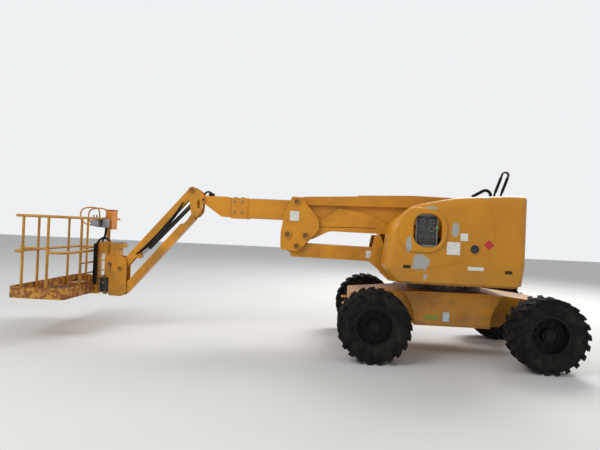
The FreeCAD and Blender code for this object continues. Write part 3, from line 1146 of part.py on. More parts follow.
def document_box():
    """The box for papers, outside the rear rail."""
    piece = Piece("document_box", "basket_x", "0", "floor_z")
    back = "(toe_thick - pin_gap)"
    front = f"({back} - document_depth)"
    bottom = "(rail_height - document_height * 0.54)"
    top = f"({bottom} + document_height)"
    piece.pad("XZ", [[(front, bottom, "10"), (back, bottom), (back, top), (front, top, "10")]],
              "document_y", "document_y + document_width")


def barrel_and_rod(names, foot, eye, radius, rod, foot_pin, room="0"):
    """A cylinder from its foot pin to its rod's eye, whose rod can still go further in by the room left."""
    foot_x, foot_z = foot
    eye_x, eye_z = eye
    dx, dz = f"({eye_x} - {foot_x})", f"({eye_z} - {foot_z})"
    length = f"hypot({dx}; {dz})"
    pitch = slope(dz, dx)
    barrel = Piece(names[0], foot_x, "0", foot_z, pitch=pitch)
    barrel.pad("YZ", [circle("0", "0", radius)], f"{radius} * 0.6", f"{length} * barrel_share")
    barrel.pad("XZ", [circle("0", "0", f"{radius} * 0.85")], f"-{radius} + 14", f"{radius} - 14")
    barrel.bore("XZ", "0", "0", f"{foot_pin} + pin_gap", f"-{radius}", radius)
    barrel.cut("YZ", [circle("0", "0", f"{rod} + pin_gap")], f"{radius} * 1.3",
               f"{length} * barrel_share + 1")
    piston = Piece(names[1], foot_x, "0", foot_z, pitch=pitch)
    piston.pad("YZ", [circle("0", "0", rod)], f"{radius} * 1.4 + {room}", f"{length} - {rod} / 2")
    piston.pad("XZ", [circle(length, "0", f"{rod} + 6")], f"2 - {rod}", f"{rod} - 2")


def from_pin(x, z, dx, dz):
    """A point a way ahead of a pin and above it."""
    return f"({x} + ({dx}))", f"({z} + ({dz}))"


def on_slope(x, z, along, above, rise, run):
    """A point a way along a pitched piece and above its line, seen from the machine."""
    length = f"hypot({run}; {rise})"
    return (f"({x} + (({along}) * {run} - ({above}) * ({rise})) / {length})",
            f"({z} + (({along}) * ({rise}) + ({above}) * {run}) / {length})")


def cylinders():
    """The arm's, the boom's and the jib's cylinder."""
    barrel_and_rod(("arm_cylinder", "arm_rod"), from_pin("lower_pivot_x", "lower_pivot_z", "ram_foot_dx",
                                                         "ram_foot_dz"), on_slope("lower_pivot_x",
                                                                                  "lower_pivot_z",
                                                                                  "ram_eye_dx",
                                                                                  "ram_eye_dz",
                                                                                  "lower_rise",
                                                                                  "lower_run"),
                   "barrel_radius", "rod_radius", "ram_pin_radius")
    barrel_and_rod(("boom_cylinder", "boom_rod"), from_pin("back_x", "back_z", "boom_ram_dx", "boom_ram_dz"),
                   from_pin("boom_x", "boom_z", "boom_eye_dx", "-boom_below - boom_eye_drop"),
                   "boom_barrel_radius", "rod_radius", "boom_ram_pin_radius")
    barrel_and_rod(("jib_cylinder", "jib_rod"), from_pin("jib_x", "jib_z", "jib_ram_dx", "jib_ram_dz"),
                   on_slope("jib_x", "jib_z", "jib_length - jib_eye_back", "-jib_half_height - jib_eye_drop",
                            "-jib_drop", "jib_run"),
                   "jib_barrel_radius", "jib_rod_radius", "jib_ram_pin_radius", "jib_rod_room")


def tail_hoses():
    """Hoses that stand in an arch behind the boom's pin, and a ribbed conduit that leans forward."""
    piece = Piece("tail_hoses", "boom_x", "0", "boom_z")
    plate = "(upright_inner - running_gap)"
    left, right, top = "(-hose_front - 2 * hose_bend - 16)", "-hose_front", "hose_rise"
    lean_from = f"({top} - hose_lean * 3)"
    for row in (1, 3):
        y = f"({plate} - {row} * hose_radius - {row // 3} * pin_gap)"
        arch = [(right, "-30"), (right, lean_from, "60"), (f"{right} - hose_lean", top, "hose_bend"),
                (f"{left} - hose_lean", top, "hose_bend"), (left, lean_from, "60"), (left, "10")]
        piece.tube(arch, y, "hose_radius")
    foot = "(hose_front - 46)"
    bend = [(foot, "50"), (foot, "conduit_rise", "70"), (f"{foot} + 250", "conduit_rise - 150")]
    piece.tube(bend, f"({plate} - conduit_radius)", "conduit_radius")


for make in (chassis_frame, slew_ring, front_axle, rear_axle):
    make()
steering_knuckle("steering_knuckle_left", 1)
steering_knuckle("steering_knuckle_right", -1)
for name, end, side in WHEELS:
    tyre(name, end, side)
    rim(name, end, side)
turret_frame()
counterweight()
plain_block("engine_block", "-engine_x", "engine_length", "engine_width", "engine_height", -1)
plain_block("hydraulic_tank", "-tank_x", "tank_length", "tank_width", "tank_height", 1)
hood("hood_left", 1, True)
hood("hood_right", -1, False)
control_panel()
for make in (lower_arm, lower_link, front_knuckle, upper_arm, top_links, rear_upright, boom_outer, boom_inner,
             jib_bracket, jib_arm, jib_link, jib_head, rotator, basket_bracket, basket_floor, basket_rails,
             entry_bar, control_console, document_box, cylinders, tail_hoses):
    make()

doc.recompute()
failed = [f"{o.Name}: {o.State}" for o in doc.Objects if "Invalid" in o.State or "Error" in o.State]
bodies = [o for o in doc.Objects if o.TypeId == "PartDesign::Body"]
for body in bodies:
    if body.Shape.isNull() or not body.Shape.isValid() or not body.Shape.Solids:
        failed.append(f"{body.Label}: no sound shape")
for pocket in (o for o in doc.Objects if o.TypeId == "PartDesign::Pocket"):
    if pocket.BaseFeature and pocket.Shape.Volume > pocket.BaseFeature.Shape.Volume - 1e-3:
        failed.append(f"{pocket.Name}: cuts nothing")
if failed:
    raise RuntimeError("\n".join(failed))

os.makedirs("parts", exist_ok=True)
for body in bodies:
    body.Shape.exportStep(f"parts/{body.Label}.step")
print(len(bodies), "pieces")
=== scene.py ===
import json
import math
import bmesh
import bpy
from bpy.props import FloatProperty, FloatVectorProperty, PointerProperty
from mathutils import Matrix, Vector


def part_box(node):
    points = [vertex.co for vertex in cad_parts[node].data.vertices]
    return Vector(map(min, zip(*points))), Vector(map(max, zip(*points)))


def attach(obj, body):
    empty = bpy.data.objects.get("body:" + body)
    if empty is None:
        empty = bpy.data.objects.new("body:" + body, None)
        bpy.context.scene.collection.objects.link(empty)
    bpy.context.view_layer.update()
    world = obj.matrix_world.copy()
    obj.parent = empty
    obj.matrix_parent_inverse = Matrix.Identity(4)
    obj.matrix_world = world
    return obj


bl_info = {
    "name": "Boom Lift Dressing",
    "version": (1, 0, 0),
    "blender": (4, 5, 0),
    "location": "View3D > Sidebar > Boom Lift",
    "description": "Paints an articulating boom lift and adds its bolts, beads, plates, hoses and controls",
    "category": "Object",
}

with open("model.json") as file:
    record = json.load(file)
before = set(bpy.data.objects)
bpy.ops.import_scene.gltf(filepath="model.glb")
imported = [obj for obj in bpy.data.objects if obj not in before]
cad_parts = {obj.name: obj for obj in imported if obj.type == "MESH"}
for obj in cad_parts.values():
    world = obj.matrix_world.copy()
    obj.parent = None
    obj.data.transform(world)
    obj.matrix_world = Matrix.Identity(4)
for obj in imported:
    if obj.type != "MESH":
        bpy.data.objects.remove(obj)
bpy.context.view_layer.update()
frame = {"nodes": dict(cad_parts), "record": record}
JOINTS = frame["record"]["behaviour"]["joints"]
PIN = {joint["name"]: Vector(joint["pos_m"]) for joint in JOINTS if "pos_m" in joint}
WHEELS = ("front_left", "front_right", "rear_left", "rear_right")
LEFT, RIGHT = 1, -1
SIDE_NAME = {LEFT: "left", RIGHT: "right"}
UP = (0, 0, 1)


def low(node):
    """A CAD node's lowest corner."""
    return Vector(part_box(node)[0])


def high(node):
    """A CAD node's highest corner."""
    return Vector(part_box(node)[1])


def middle(node):
    """The middle of a CAD node's box."""
    return (low(node) + high(node)) / 2


def at(x, y, z):
    """A place seen from the slewing axis, in metres, as a place in the frame."""
    return Vector((PIN["turret_slew"].x + x, y, z))


def srgb(code):
    """The hex colour as the property's default, still in sRGB."""
    return tuple(int(code[i:i + 2], 16) / 255 for i in (1, 3, 5))


def linear(colour):
    """An sRGB colour as Blender's linear one, with full alpha."""
    return tuple(c / 12.92 if c <= 0.04045 else ((c + 0.055) / 1.055) ** 2.4 for c in colour) + (1.0,)


def hexed(code):
    """A hex colour turned linear."""
    return linear(srgb(code))


class LiftPaint(bpy.types.PropertyGroup):
    """Colours that a user would change."""
    boom: FloatVectorProperty(name="Boom enamel", description="Yellow of the arms and the boom",
                              default=srgb("#D98F05"), subtype="COLOR_GAMMA", min=0, max=1)
    hood: FloatVectorProperty(name="Hood gelcoat", description="Yellow of the moulded hoods",
                              default=srgb("#D18A00"), subtype="COLOR_GAMMA", min=0, max=1)
    basket: FloatVectorProperty(name="Basket enamel", description="Yellow of the basket's tubes",
                                default=srgb("#C68A22"), subtype="COLOR_GAMMA", min=0, max=1)
    rust: FloatVectorProperty(name="Rust", description="Bare, rusted steel",
                              default=srgb("#683813"), subtype="COLOR_GAMMA", min=0, max=1)
    dust: FloatVectorProperty(name="Dust", description="Dry road dust",
                              default=srgb("#857552"), subtype="COLOR_GAMMA", min=0, max=1)


class LiftSizes(bpy.types.PropertyGroup):
    """Sizes of the fittings."""
    bolt: FloatProperty(name="Bolt", description="Across a structural bolt's head",
                        default=0.030, unit="LENGTH")
    nut: FloatProperty(name="Wheel nut", description="Across a wheel nut", default=0.032, unit="LENGTH")
    hose: FloatProperty(name="Hose", description="Hydraulic hose's radius", default=0.010, unit="LENGTH")
    label: FloatProperty(name="Label", description="Thickness of a plate or label",
                         default=0.002, unit="LENGTH")


class LiftStage(bpy.types.PropertyGroup):
    """The camera's lens and turn."""
    lens: FloatProperty(name="Lens", description="Focal length on a 36 mm sensor",
                        default=30.05, unit="CAMERA")
    yaw: FloatProperty(name="Yaw", description="Camera's turn from square on",
                       default=math.radians(-3.611), unit="ROTATION")
    pitch: FloatProperty(name="Pitch", description="Camera's tilt up",
                         default=math.radians(0.121), unit="ROTATION")
    roll: FloatProperty(name="Roll", description="Camera's lean",
                        default=math.radians(-2.530), unit="ROTATION")


def paint():
    """The colours in the scene's properties."""
    return bpy.context.scene.lift_paint


def sizes():
    """The fittings' sizes in the scene's properties."""
    return bpy.context.scene.lift_sizes


# Material helpers

def feed(tree, node, inputs):
    """Sets a node's inputs, and links those that are given a socket."""
    for key, value in inputs.items():
        if isinstance(value, bpy.types.NodeSocket):
            tree.links.new(value, node.inputs[key])
        else:
            node.inputs[key].default_value = value


def add(tree, kind, inputs=None, **settings):
    """Adds a node with its properties and inputs."""
    made = tree.nodes.new(kind)
    for key, value in settings.items():
        setattr(made, key, value)
    feed(tree, made, inputs or {})
    return made


def new_material(name):
    """A material with its node tree, its shader and the object's own coordinates."""
    made = bpy.data.materials.new(name)
    made.use_nodes = True
    tree = made.node_tree
    shader = tree.nodes["Principled BSDF"]
    coords = add(tree, "ShaderNodeTexCoord").outputs["Object"]
    return made, tree, shader, coords


def clouds(tree, coords, millimetres, detail, roughness=0.5):
    """Noise whose blotches are about that many millimetres across."""
    inputs = {"Vector": coords, "Scale": 1000 / millimetres, "Detail": detail, "Roughness": roughness}
    return add(tree, "ShaderNodeTexNoise", inputs).outputs["Fac"]


def ramp(tree, value, start, end, first=0.0, last=1.0):
    """Runs from the first to the last value while the input goes from start to end."""
    inputs = {"Value": value, "From Min": start, "From Max": end, "To Min": first, "To Max": last}
    return add(tree, "ShaderNodeMapRange", inputs).outputs["Result"]


def mixed(tree, amount, first, second):
    """Two colours mixed by an amount of the second."""
    inputs = {"Fac": amount, "Color1": first, "Color2": second}
    return add(tree, "ShaderNodeMixRGB", inputs).outputs["Color"]


def figured(tree, operation, *values):
    """The result of one arithmetic step."""
    return add(tree, "ShaderNodeMath", dict(enumerate(values)), operation=operation).outputs["Value"]


def relief(tree, height, strength, metres):
    """A bump of that strength and depth."""
    inputs = {"Strength": strength, "Distance": metres, "Height": height}
    return add(tree, "ShaderNodeBump", inputs).outputs["Normal"]


# Materials

ENAMELS = (
    # name, paint, faded, chips' share, dust's height, rust blotch in mm
    ("boom_enamel", "boom", "#C27C0B", 0.07, 0.4, 60),
    ("arm_enamel", "boom", "#B07206", 0.10, 0.7, 45),
    ("chassis_enamel", "boom", "#9C6604", 0.09, 0.95, 70),
    ("jib_enamel", "boom", "#A87212", 0.15, 0.6, 40),
    ("rail_enamel", "basket", "#A0752C", 0.24, 0.5, 26),
    ("toe_board_enamel", "basket", "#AE8A42", 0.42, 0.5, 70),
)
PAINT_ROUGHNESS, RUST_ROUGHNESS = 0.42, 0.85
# Noise value where chips begin, how far their share lowers it, and their edge's width
CHIPS_FROM, CHIPS_GAIN, CHIPS_EDGE = 0.66, 0.45, 0.03

# Dust: full up to this share of its height, and its amounts low down and high up
DUST_FULL, DUST_LOW, DUST_HIGH = 0.4, 0.6, 0.05

# The left hood's grey primer patches: ahead of the slewing axis, height, half width and half height
PRIMER_PATCHES = (
    (0.654, 1.480, 0.040, 0.110),
    (0.091, 1.692, 0.050, 0.100),
    (0.496, 1.266, 0.125, 0.117),
    (0.430, 1.085, 0.030, 0.037),
    (0.387, 1.942, 0.075, 0.018),
    (-0.290, 2.111, 0.048, 0.031),
)
PATCH_RAGGEDNESS, PATCH_INSIDE, PATCH_OUTSIDE = 1.6, 1.62, 1.74
HOOD_SIDE_FROM, HOOD_DUST_HEIGHT = 0.8, 1.3


def dust_over(tree, coords, colour, top):
    """The colour with road dust that thins out towards the height top, in metres above the ground."""
    height = add(tree, "ShaderNodeSeparateXYZ", {"Vector": coords}).outputs["Z"]
    fall = ramp(tree, height, top * DUST_FULL, top, DUST_LOW, DUST_HIGH)
    patchy = ramp(tree, clouds(tree, coords, 160, 8.0, 0.7), 0.35, 0.7)
    amount = figured(tree, "MULTIPLY", fall, patchy)
    return mixed(tree, amount, colour, linear(paint().dust))


def enamel(name, colour, faded, chips, dust_height, blotch):
    """Brushed-on machine enamel: sun-faded in drifts, chipped to rust and dusty low down."""
    made, tree, shader, coords = new_material(name)
    fade = ramp(tree, clouds(tree, coords, 600, 6.0, 0.6), 0.42, 0.62)
    tone = mixed(tree, fade, linear(colour), hexed(faded))
    edge = CHIPS_FROM - chips * CHIPS_GAIN
    bare = ramp(tree, clouds(tree, coords, blotch, 9.0, 0.72), edge, edge + CHIPS_EDGE)
    rust = mixed(tree, clouds(tree, coords, 9, 6.0), linear(paint().rust), hexed("#A5622C"))
    worn = mixed(tree, bare, tone, rust)
    peel = figured(tree, "SUBTRACT", clouds(tree, coords, 5, 3.0), bare)
    feed(tree, shader, {
        "Base Color": dust_over(tree, coords, worn, dust_height),
        "Roughness": ramp(tree, bare, 0.0, 1.0, PAINT_ROUGHNESS, RUST_ROUGHNESS),
        "Normal": relief(tree, peel, 0.18, 0.0008),
        "IOR": 1.5,
    })
    return made


def primed(tree, coords, colour):
    """The hood's colour with ragged patches of grey primer on its left face."""
    ragged = clouds(tree, coords, 70, 7.0, 0.75)
    outward = add(tree, "ShaderNodeSeparateXYZ", {"Vector": coords}).outputs["Y"]
    left_face = figured(tree, "GREATER_THAN", outward, HOOD_SIDE_FROM)
    for along, up, half_wide, half_high in PRIMER_PATCHES:
        place = {"Vector": coords, "Location": -at(along, 0, up)}
        spot = add(tree, "ShaderNodeMapping", place).outputs["Vector"]
        scaled = {0: spot, 1: (1 / half_wide, 0, 1 / half_high)}
        flat = add(tree, "ShaderNodeVectorMath", scaled, operation="MULTIPLY").outputs["Vector"]
        reach = add(tree, "ShaderNodeVectorMath", {0: flat}, operation="LENGTH").outputs["Value"]
        rough_edge = figured(tree, "MULTIPLY_ADD", ragged, PATCH_RAGGEDNESS, reach)
        inside = ramp(tree, rough_edge, PATCH_INSIDE, PATCH_OUTSIDE, 1.0, 0.0)
        shown = figured(tree, "MULTIPLY", inside, left_face)
        colour = mixed(tree, shown, colour, hexed("#A9A8A2"))
    return colour


def hood_gelcoat():
    """Glass-fibre moulding with a chalky gelcoat, filled with grey primer in places."""
    made, tree, shader, coords = new_material("hood_gelcoat")
    fade = ramp(tree, clouds(tree, coords, 900, 5.0), 0.4, 0.65)
    tone = mixed(tree, fade, linear(paint().hood), hexed("#B97B06"))
    feed(tree, shader, {
        "Base Color": dust_over(tree, coords, primed(tree, coords, tone), HOOD_DUST_HEIGHT),
        "Normal": relief(tree, clouds(tree, coords, 30, 4.0), 0.08, 0.001),
        "Roughness": 0.38,
    })
    return made


def dusty_tyre_rubber():
    """Moulded tyre rubber with clouds of grey-brown dust."""
    made, tree, shader, coords = new_material("dusty_tyre_rubber")
    amount = ramp(tree, clouds(tree, coords, 90, 8.0, 0.7), 0.42, 0.75, 0.0, 0.6)
    feed(tree, shader, {
        "Base Color": mixed(tree, amount, hexed("#131415"), hexed("#443D33")),
        "Normal": relief(tree, clouds(tree, coords, 6, 5.0), 0.25, 0.001),
        "Roughness": 0.9,
        "Specular IOR Level": 0.15,
    })
    return made


PLAIN_FINISHES = (
    # name, colour, second colour, blotch in mm, roughness, metallic
    # Black paint of the rims, their nuts and hub caps
    ("wheel_enamel", "#0A0A0B", "#1F1A15", 60, 0.6, 0.0),
    # Dark, oily steel of the axles, slewing ring, engine, boom pipes and floor tread
    ("oily_steel", "#23211F", "#4A3D30", 50, 0.45, 0.3),
    # Black paint of the cylinders, the oil tank and the rotary actuator
    ("cylinder_enamel", "#1C1C1D", "#3A332B", 80, 0.4, 0.0),
    # Hard chrome of the rods
    ("ground_chrome", "#C8C9CB", "#A9A9AA", 200, 0.12, 1.0),
    # Zinc plate of the bolts, dial rims, switches and ports
    ("zinc_bolt", "#8F8B80", "#6A5A45", 20, 0.42, 0.9),
    # Grey paint of the control boxes
    ("grey_cover_paint", "#8D8E90", "#6F6A62", 60, 0.5, 0.0),
    # Moulded document box and its lid
    ("orange_polyethylene", "#CF8020", "#A5661F", 90, 0.55, 0.0),
    ("red_polyethylene", "#A5312A", "#7E2B22", 60, 0.5, 0.0),
    # Hose covers and rubber guides
    ("hose_rubber", "#0B0B0C", "#201E1B", 30, 0.7, 0.0),
    # Moulded knobs, latches, dials, valves and caps
    ("black_abs", "#19191B", "#2A2A2B", 40, 0.4, 0.0),
    # Printed film of the labels and plates
    ("white_vinyl", "#E4E2DA", "#C9C4B6", 50, 0.4, 0.0),
    ("red_vinyl", "#C2302A", "#A82B25", 40, 0.4, 0.0),
    ("green_vinyl", "#4E8F3A", "#6A9A52", 30, 0.4, 0.0),
    # Lime film darkened and dulled with painted shade
    ("shaded_lime_vinyl", "#93932F", "#6F7526", 40, 0.4, 0.0),
    # White film tinted pale blue with painted shade
    ("shaded_white_vinyl", "#C4D2DC", "#98A6AE", 30, 0.4, 0.0),
    # Painted sheet behind the hood's window
    ("panel_steel", "#2C3533", "#434B40", 40, 0.5, 0.0),
    # Pin ends worn through their paint
    ("rusty_pin", "#6B3F12", "#9A6714", 22, 0.55, 0.0),
    # Painted shade in the latches' recesses and along the arm's seams
    ("door_seam_shadow", "#3A2C12", "#5A4416", 60, 0.8, 0.0),
)
# Finishes rougher than the first value are matt and mirror less
MATT_ABOVE, MATT_SPECULAR, PLAIN_SPECULAR = 0.55, 0.2, 0.5


def plain_finish(name, colour, second, blotch, roughness, metallic):
    """A paint, plastic or metal with the smudges and fine grain that handling leaves."""
    made, tree, shader, coords = new_material(name)
    amount = ramp(tree, clouds(tree, coords, blotch, 7.0, 0.65), 0.45, 0.75)
    feed(tree, shader, {
        "Base Color": mixed(tree, amount, hexed(colour), hexed(second)),
        "Normal": relief(tree, clouds(tree, coords, 4, 2.0), 0.1, 0.0004),
        "Roughness": roughness,
        "Metallic": metallic,
        "Specular IOR Level": MATT_SPECULAR if roughness > MATT_ABOVE else PLAIN_SPECULAR,
    })
    return made


def finish_of(name):
    """The material of that name, made when it is first asked for."""
    if name in bpy.data.materials:
        return bpy.data.materials[name]
    for row in ENAMELS:
        if row[0] == name:
            return enamel(name, getattr(paint(), row[1]), *row[2:])
    for row in PLAIN_FINISHES:
        if row[0] == name:
            return plain_finish(*row)
    return {"hood_gelcoat": hood_gelcoat, "dusty_tyre_rubber": dusty_tyre_rubber}[name]()


# Modelling helpers

SMOOTH_ANGLE = math.radians(35)


def deselect():
    """Leaves edit mode with nothing selected."""
    if bpy.context.object and bpy.context.object.mode != "OBJECT":
        bpy.ops.object.mode_set(mode="OBJECT")
    bpy.ops.object.select_all(action="DESELECT")


def only(obj):
    """Selects one object and makes it active."""
    deselect()
    obj.select_set(True)
    bpy.context.view_layer.objects.active = obj


def settle(obj):
    """Puts the object's place, turn and size into its mesh."""
    only(obj)
    bpy.ops.object.transform_apply(location=True, rotation=True, scale=True)
    return obj


def softened(obj, width, segments=2):
    """Bevels the sharp edges."""
    only(obj)
    bevel = obj.modifiers.new("Bevel", "BEVEL")
    bevel.width = width
    bevel.segments = segments
    bevel.limit_method = "ANGLE"
    bpy.ops.object.modifier_apply(modifier=bevel.name)
    return obj


def slab(centre, size, bevel=0.002, segments=2):
    """A block with softened edges."""
    deselect()
    bpy.ops.mesh.primitive_cube_add(size=1, location=centre, scale=size)
    return softened(settle(bpy.context.object), min(bevel, min(size) * 0.45), segments)


def cylinder(radius, depth, sides, lift=0.0):
    """A plain cylinder that stands along +Z, lifted off the origin."""
    deselect()
    centre = (0, 0, depth / 2 + lift)
    bpy.ops.mesh.primitive_cylinder_add(vertices=sides, radius=radius, depth=depth, location=centre)
    return settle(bpy.context.object)


def picked(obj, test):
    """Enters edit mode with the faces selected whose normal passes the test."""
    only(obj)
    bpy.ops.object.mode_set(mode="EDIT")
    bpy.ops.mesh.select_mode(type="FACE")
    bpy.ops.mesh.select_all(action="DESELECT")
    mesh = bmesh.from_edit_mesh(obj.data)
    for face in mesh.faces:
        face.select_set(test(face.normal))
    bmesh.update_edit_mesh(obj.data)


def stepped_top(obj, thickness, rise):
    """Insets the top face and moves it up, or down where the rise is negative."""
    picked(obj, lambda normal: normal.z > 0.9)
    bpy.ops.mesh.inset(thickness=thickness)
    bpy.ops.transform.translate(value=(0, 0, rise))
    bpy.ops.object.mode_set(mode="OBJECT")
    return obj


def turned(obj, point, direction):
    """Moves a piece made at the origin along +Z to a point, along a direction."""
    turn = Vector(direction).to_track_quat("Z", "Y").to_matrix().to_4x4()
    obj.matrix_world = Matrix.Translation(point) @ turn
    return settle(obj)


def joined(parts):
    """One object of several."""
    if len(parts) == 1:
        return parts[0]
    deselect()
    for part in parts:
        part.select_set(True)
    bpy.context.view_layer.objects.active = parts[0]
    bpy.ops.object.join()
    return parts[0]


def copies(obj, places):
    """The piece copied to each (point, direction), each with its own mesh, as one object."""
    made = []
    for point, direction in places:
        twin = obj.copy()
        twin.data = obj.data.copy()
        bpy.context.collection.objects.link(twin)
        made.append(turned(twin, point, direction))
    bpy.data.objects.remove(obj)
    return joined(made)


def ring_of(centre, direction, radius, count, start=0.0):
    """Places round a circle, all facing along the direction."""
    turn = Vector(direction).to_track_quat("Z", "Y")
    angles = [start + math.tau * i / count for i in range(count)]
    spokes = [turn @ Vector((radius * math.cos(a), radius * math.sin(a), 0)) for a in angles]
    return [(Vector(centre) + spoke, direction) for spoke in spokes]


# A bolt's proportions, as shares of the width across its head
HEAD_RADIUS, HEAD_DEPTH, HEAD_INSET, HEAD_DOME = 0.577, 0.62, 0.08, 0.05
WASHER_RADIUS, WASHER_DEPTH, WASHER_BEVEL, HEAD_LIFT = 0.78, 0.12, 0.03, 0.1


def bolt(across):
    """A hexagon head with its washer, standing on the origin along +Z."""
    hexagon = cylinder(across * HEAD_RADIUS, across * HEAD_DEPTH, 6, across * HEAD_LIFT)
    stepped_top(hexagon, across * HEAD_INSET, across * HEAD_DOME)
    washer = cylinder(across * WASHER_RADIUS, across * WASHER_DEPTH, 14)
    return joined([hexagon, softened(washer, across * WASHER_BEVEL, 1)])


def disc(centre, direction, radius, depth, step=0.35, sink=0.25, sides=32):
    """A turned cap: a cylinder whose face is stepped in once."""
    obj = stepped_top(cylinder(radius, depth, sides), radius * step, -depth * sink)
    return turned(softened(obj, min(radius, depth) * 0.12), centre, direction)


def band(centre, direction, radius, depth, wall, sides=32):
    """A short sleeve: a cylinder whose ends are inset and bridged through."""
    obj = cylinder(radius, depth, sides)
    picked(obj, lambda normal: abs(normal.z) > 0.9)
    bpy.ops.mesh.inset(thickness=wall, use_individual=True)
    bpy.ops.mesh.bridge_edge_loops()
    bpy.ops.object.mode_set(mode="OBJECT")
    return turned(softened(obj, min(wall, depth) * 0.2), centre, direction)


def strand(points, radius, smooth=True, sides=3):
    """A rod, bead or hose along points, drawn out from one corner."""
    deselect()
    bpy.ops.mesh.primitive_plane_add(size=0.001, location=points[0])
    settle(bpy.context.object)
    bpy.ops.object.mode_set(mode="EDIT")
    bpy.ops.mesh.select_mode(type="VERT")
    bpy.ops.mesh.select_all(action="SELECT")
    bpy.ops.mesh.merge(type="CENTER")
    for near, far in zip(points, points[1:]):
        bpy.ops.mesh.extrude_vertices_move(TRANSFORM_OT_translate={"value": Vector(far) - Vector(near)})
    bpy.ops.object.mode_set(mode="OBJECT")
    bpy.ops.object.convert(target="CURVE")
    curve = bpy.context.object.data
    if smooth:
        bpy.ops.object.mode_set(mode="EDIT")
        bpy.ops.curve.select_all(action="SELECT")
        bpy.ops.curve.spline_type_set(type="NURBS")
        bpy.ops.object.mode_set(mode="OBJECT")
        for spline in curve.splines:
            spline.use_endpoint_u = True
            spline.order_u = 3
    curve.bevel_depth = radius
    curve.bevel_resolution = sides
    curve.resolution_u = 5
    curve.use_fill_caps = True
    bpy.ops.object.convert(target="MESH")
    return bpy.context.object


def strands(routes, radius, smooth=True):
    """Several strands as one object."""
    return joined([strand(points, radius, smooth) for points in routes])


def done(obj, name, body, material):
    """Names a finished piece, gives it its material and lets it ride on its body."""
    settle(obj)
    bpy.ops.object.shade_smooth_by_angle(angle=SMOOTH_ANGLE)
    obj.name = name
    obj.data.name = name
    obj.data.materials.clear()
    obj.data.materials.append(finish_of(material))
    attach(obj, body)
    return obj


class LiftOperator:
    """What every operator of this file shares."""
    bl_options = {"REGISTER", "UNDO"}


# Materials of the CAD nodes

NODE_FINISH = {
    "chassis_frame": "chassis_enamel", "slew_ring": "oily_steel",
    "front_axle": "oily_steel", "rear_axle": "oily_steel",
    "steering_knuckle_left": "oily_steel", "steering_knuckle_right": "oily_steel",
    "turret_frame": "arm_enamel", "counterweight": "arm_enamel", "engine_block": "oily_steel",
    "hydraulic_tank": "cylinder_enamel", "control_panel": "grey_cover_paint",
    "hood_left": "hood_gelcoat", "hood_right": "hood_gelcoat",
    "lower_arm": "arm_enamel", "lower_link": "arm_enamel", "front_knuckle": "boom_enamel",
    "upper_arm": "arm_enamel", "top_links": "boom_enamel", "rear_upright": "arm_enamel",
    "boom_outer": "boom_enamel", "boom_inner": "boom_enamel",
    "jib_bracket": "jib_enamel", "jib_arm": "jib_enamel", "jib_link": "jib_enamel", "jib_head": "jib_enamel",
    "arm_cylinder": "cylinder_enamel", "boom_cylinder": "cylinder_enamel", "jib_cylinder": "cylinder_enamel",
    "arm_rod": "ground_chrome", "boom_rod": "ground_chrome", "jib_rod": "ground_chrome",
    "tail_hoses": "hose_rubber", "rotator": "cylinder_enamel", "basket_bracket": "jib_enamel",
    "basket_floor": "toe_board_enamel", "basket_rails": "rail_enamel", "entry_bar": "rail_enamel",
    "control_console": "grey_cover_paint", "document_box": "orange_polyethylene",
}


class LIFT_OT_paint(LiftOperator, bpy.types.Operator):
    """Gives every CAD node its finish"""
    bl_idname = "lift.paint"
    bl_label = "Paint the frame"

    def execute(self, context):
        finishes = dict(NODE_FINISH)
        for wheel in WHEELS:
            finishes[f"tyre_{wheel}"] = "dusty_tyre_rubber"
            finishes[f"rim_{wheel}"] = "wheel_enamel"
        for name, obj in frame["nodes"].items():
            material = finish_of(finishes[name])
            if not obj.material_slots:
                obj.data.materials.append(material)
            for slot in obj.material_slots:
                slot.material = material
        return {"FINISHED"}


# Wheels: faces outwards from the rim's middle, and circles of bolts round it

NUT_FACE, NUT_CIRCLE, NUT_COUNT = 0.030, 0.140, 9
HUB_FACE, HUB_RADIUS, HUB_DEPTH = 0.100, 0.056, 0.030
HUB_BOLT_CIRCLE, HUB_BOLT_COUNT, HUB_BOLT_SHARE = 0.068, 8, 0.5
VALVE_CIRCLE, VALVE_RADIUS = 0.19, 0.005


class LIFT_OT_wheels(LiftOperator, bpy.types.Operator):
    """Adds the wheel nuts, the hub's bolts and the valve to every wheel"""
    bl_idname = "lift.wheels"
    bl_label = "Wheel fittings"

    def execute(self, context):
        nut = sizes().nut
        for wheel in WHEELS:
            body = f"wheel_{wheel}"
            centre = middle(f"rim_{wheel}")
            out = Vector((0, LEFT if centre.y > 0 else RIGHT, 0))
            face = centre + out * NUT_FACE
            nuts = copies(bolt(nut), ring_of(face, out, NUT_CIRCLE, NUT_COUNT))
            done(nuts, f"wheel_nuts_{wheel}", body, "wheel_enamel")
            hub = centre + out * HUB_FACE
            cap = disc(hub, out, HUB_RADIUS, HUB_DEPTH)
            places = ring_of(hub, out, HUB_BOLT_CIRCLE, HUB_BOLT_COUNT)
            hub_bolts = copies(bolt(nut * HUB_BOLT_SHARE), places)
            done(joined([cap, hub_bolts]), f"hub_cap_{wheel}", body, "wheel_enamel")
            foot = face + Vector((VALVE_CIRCLE, 0, 0))
            stem = [foot, foot + out * 0.03, foot + out * 0.05 - Vector((0.02, 0, 0))]
            done(strand(stem, VALVE_RADIUS), f"tyre_valve_{wheel}", body, "black_abs")
        return {"FINISHED"}


# Hoods: places are ahead of the slewing axis and above the ground

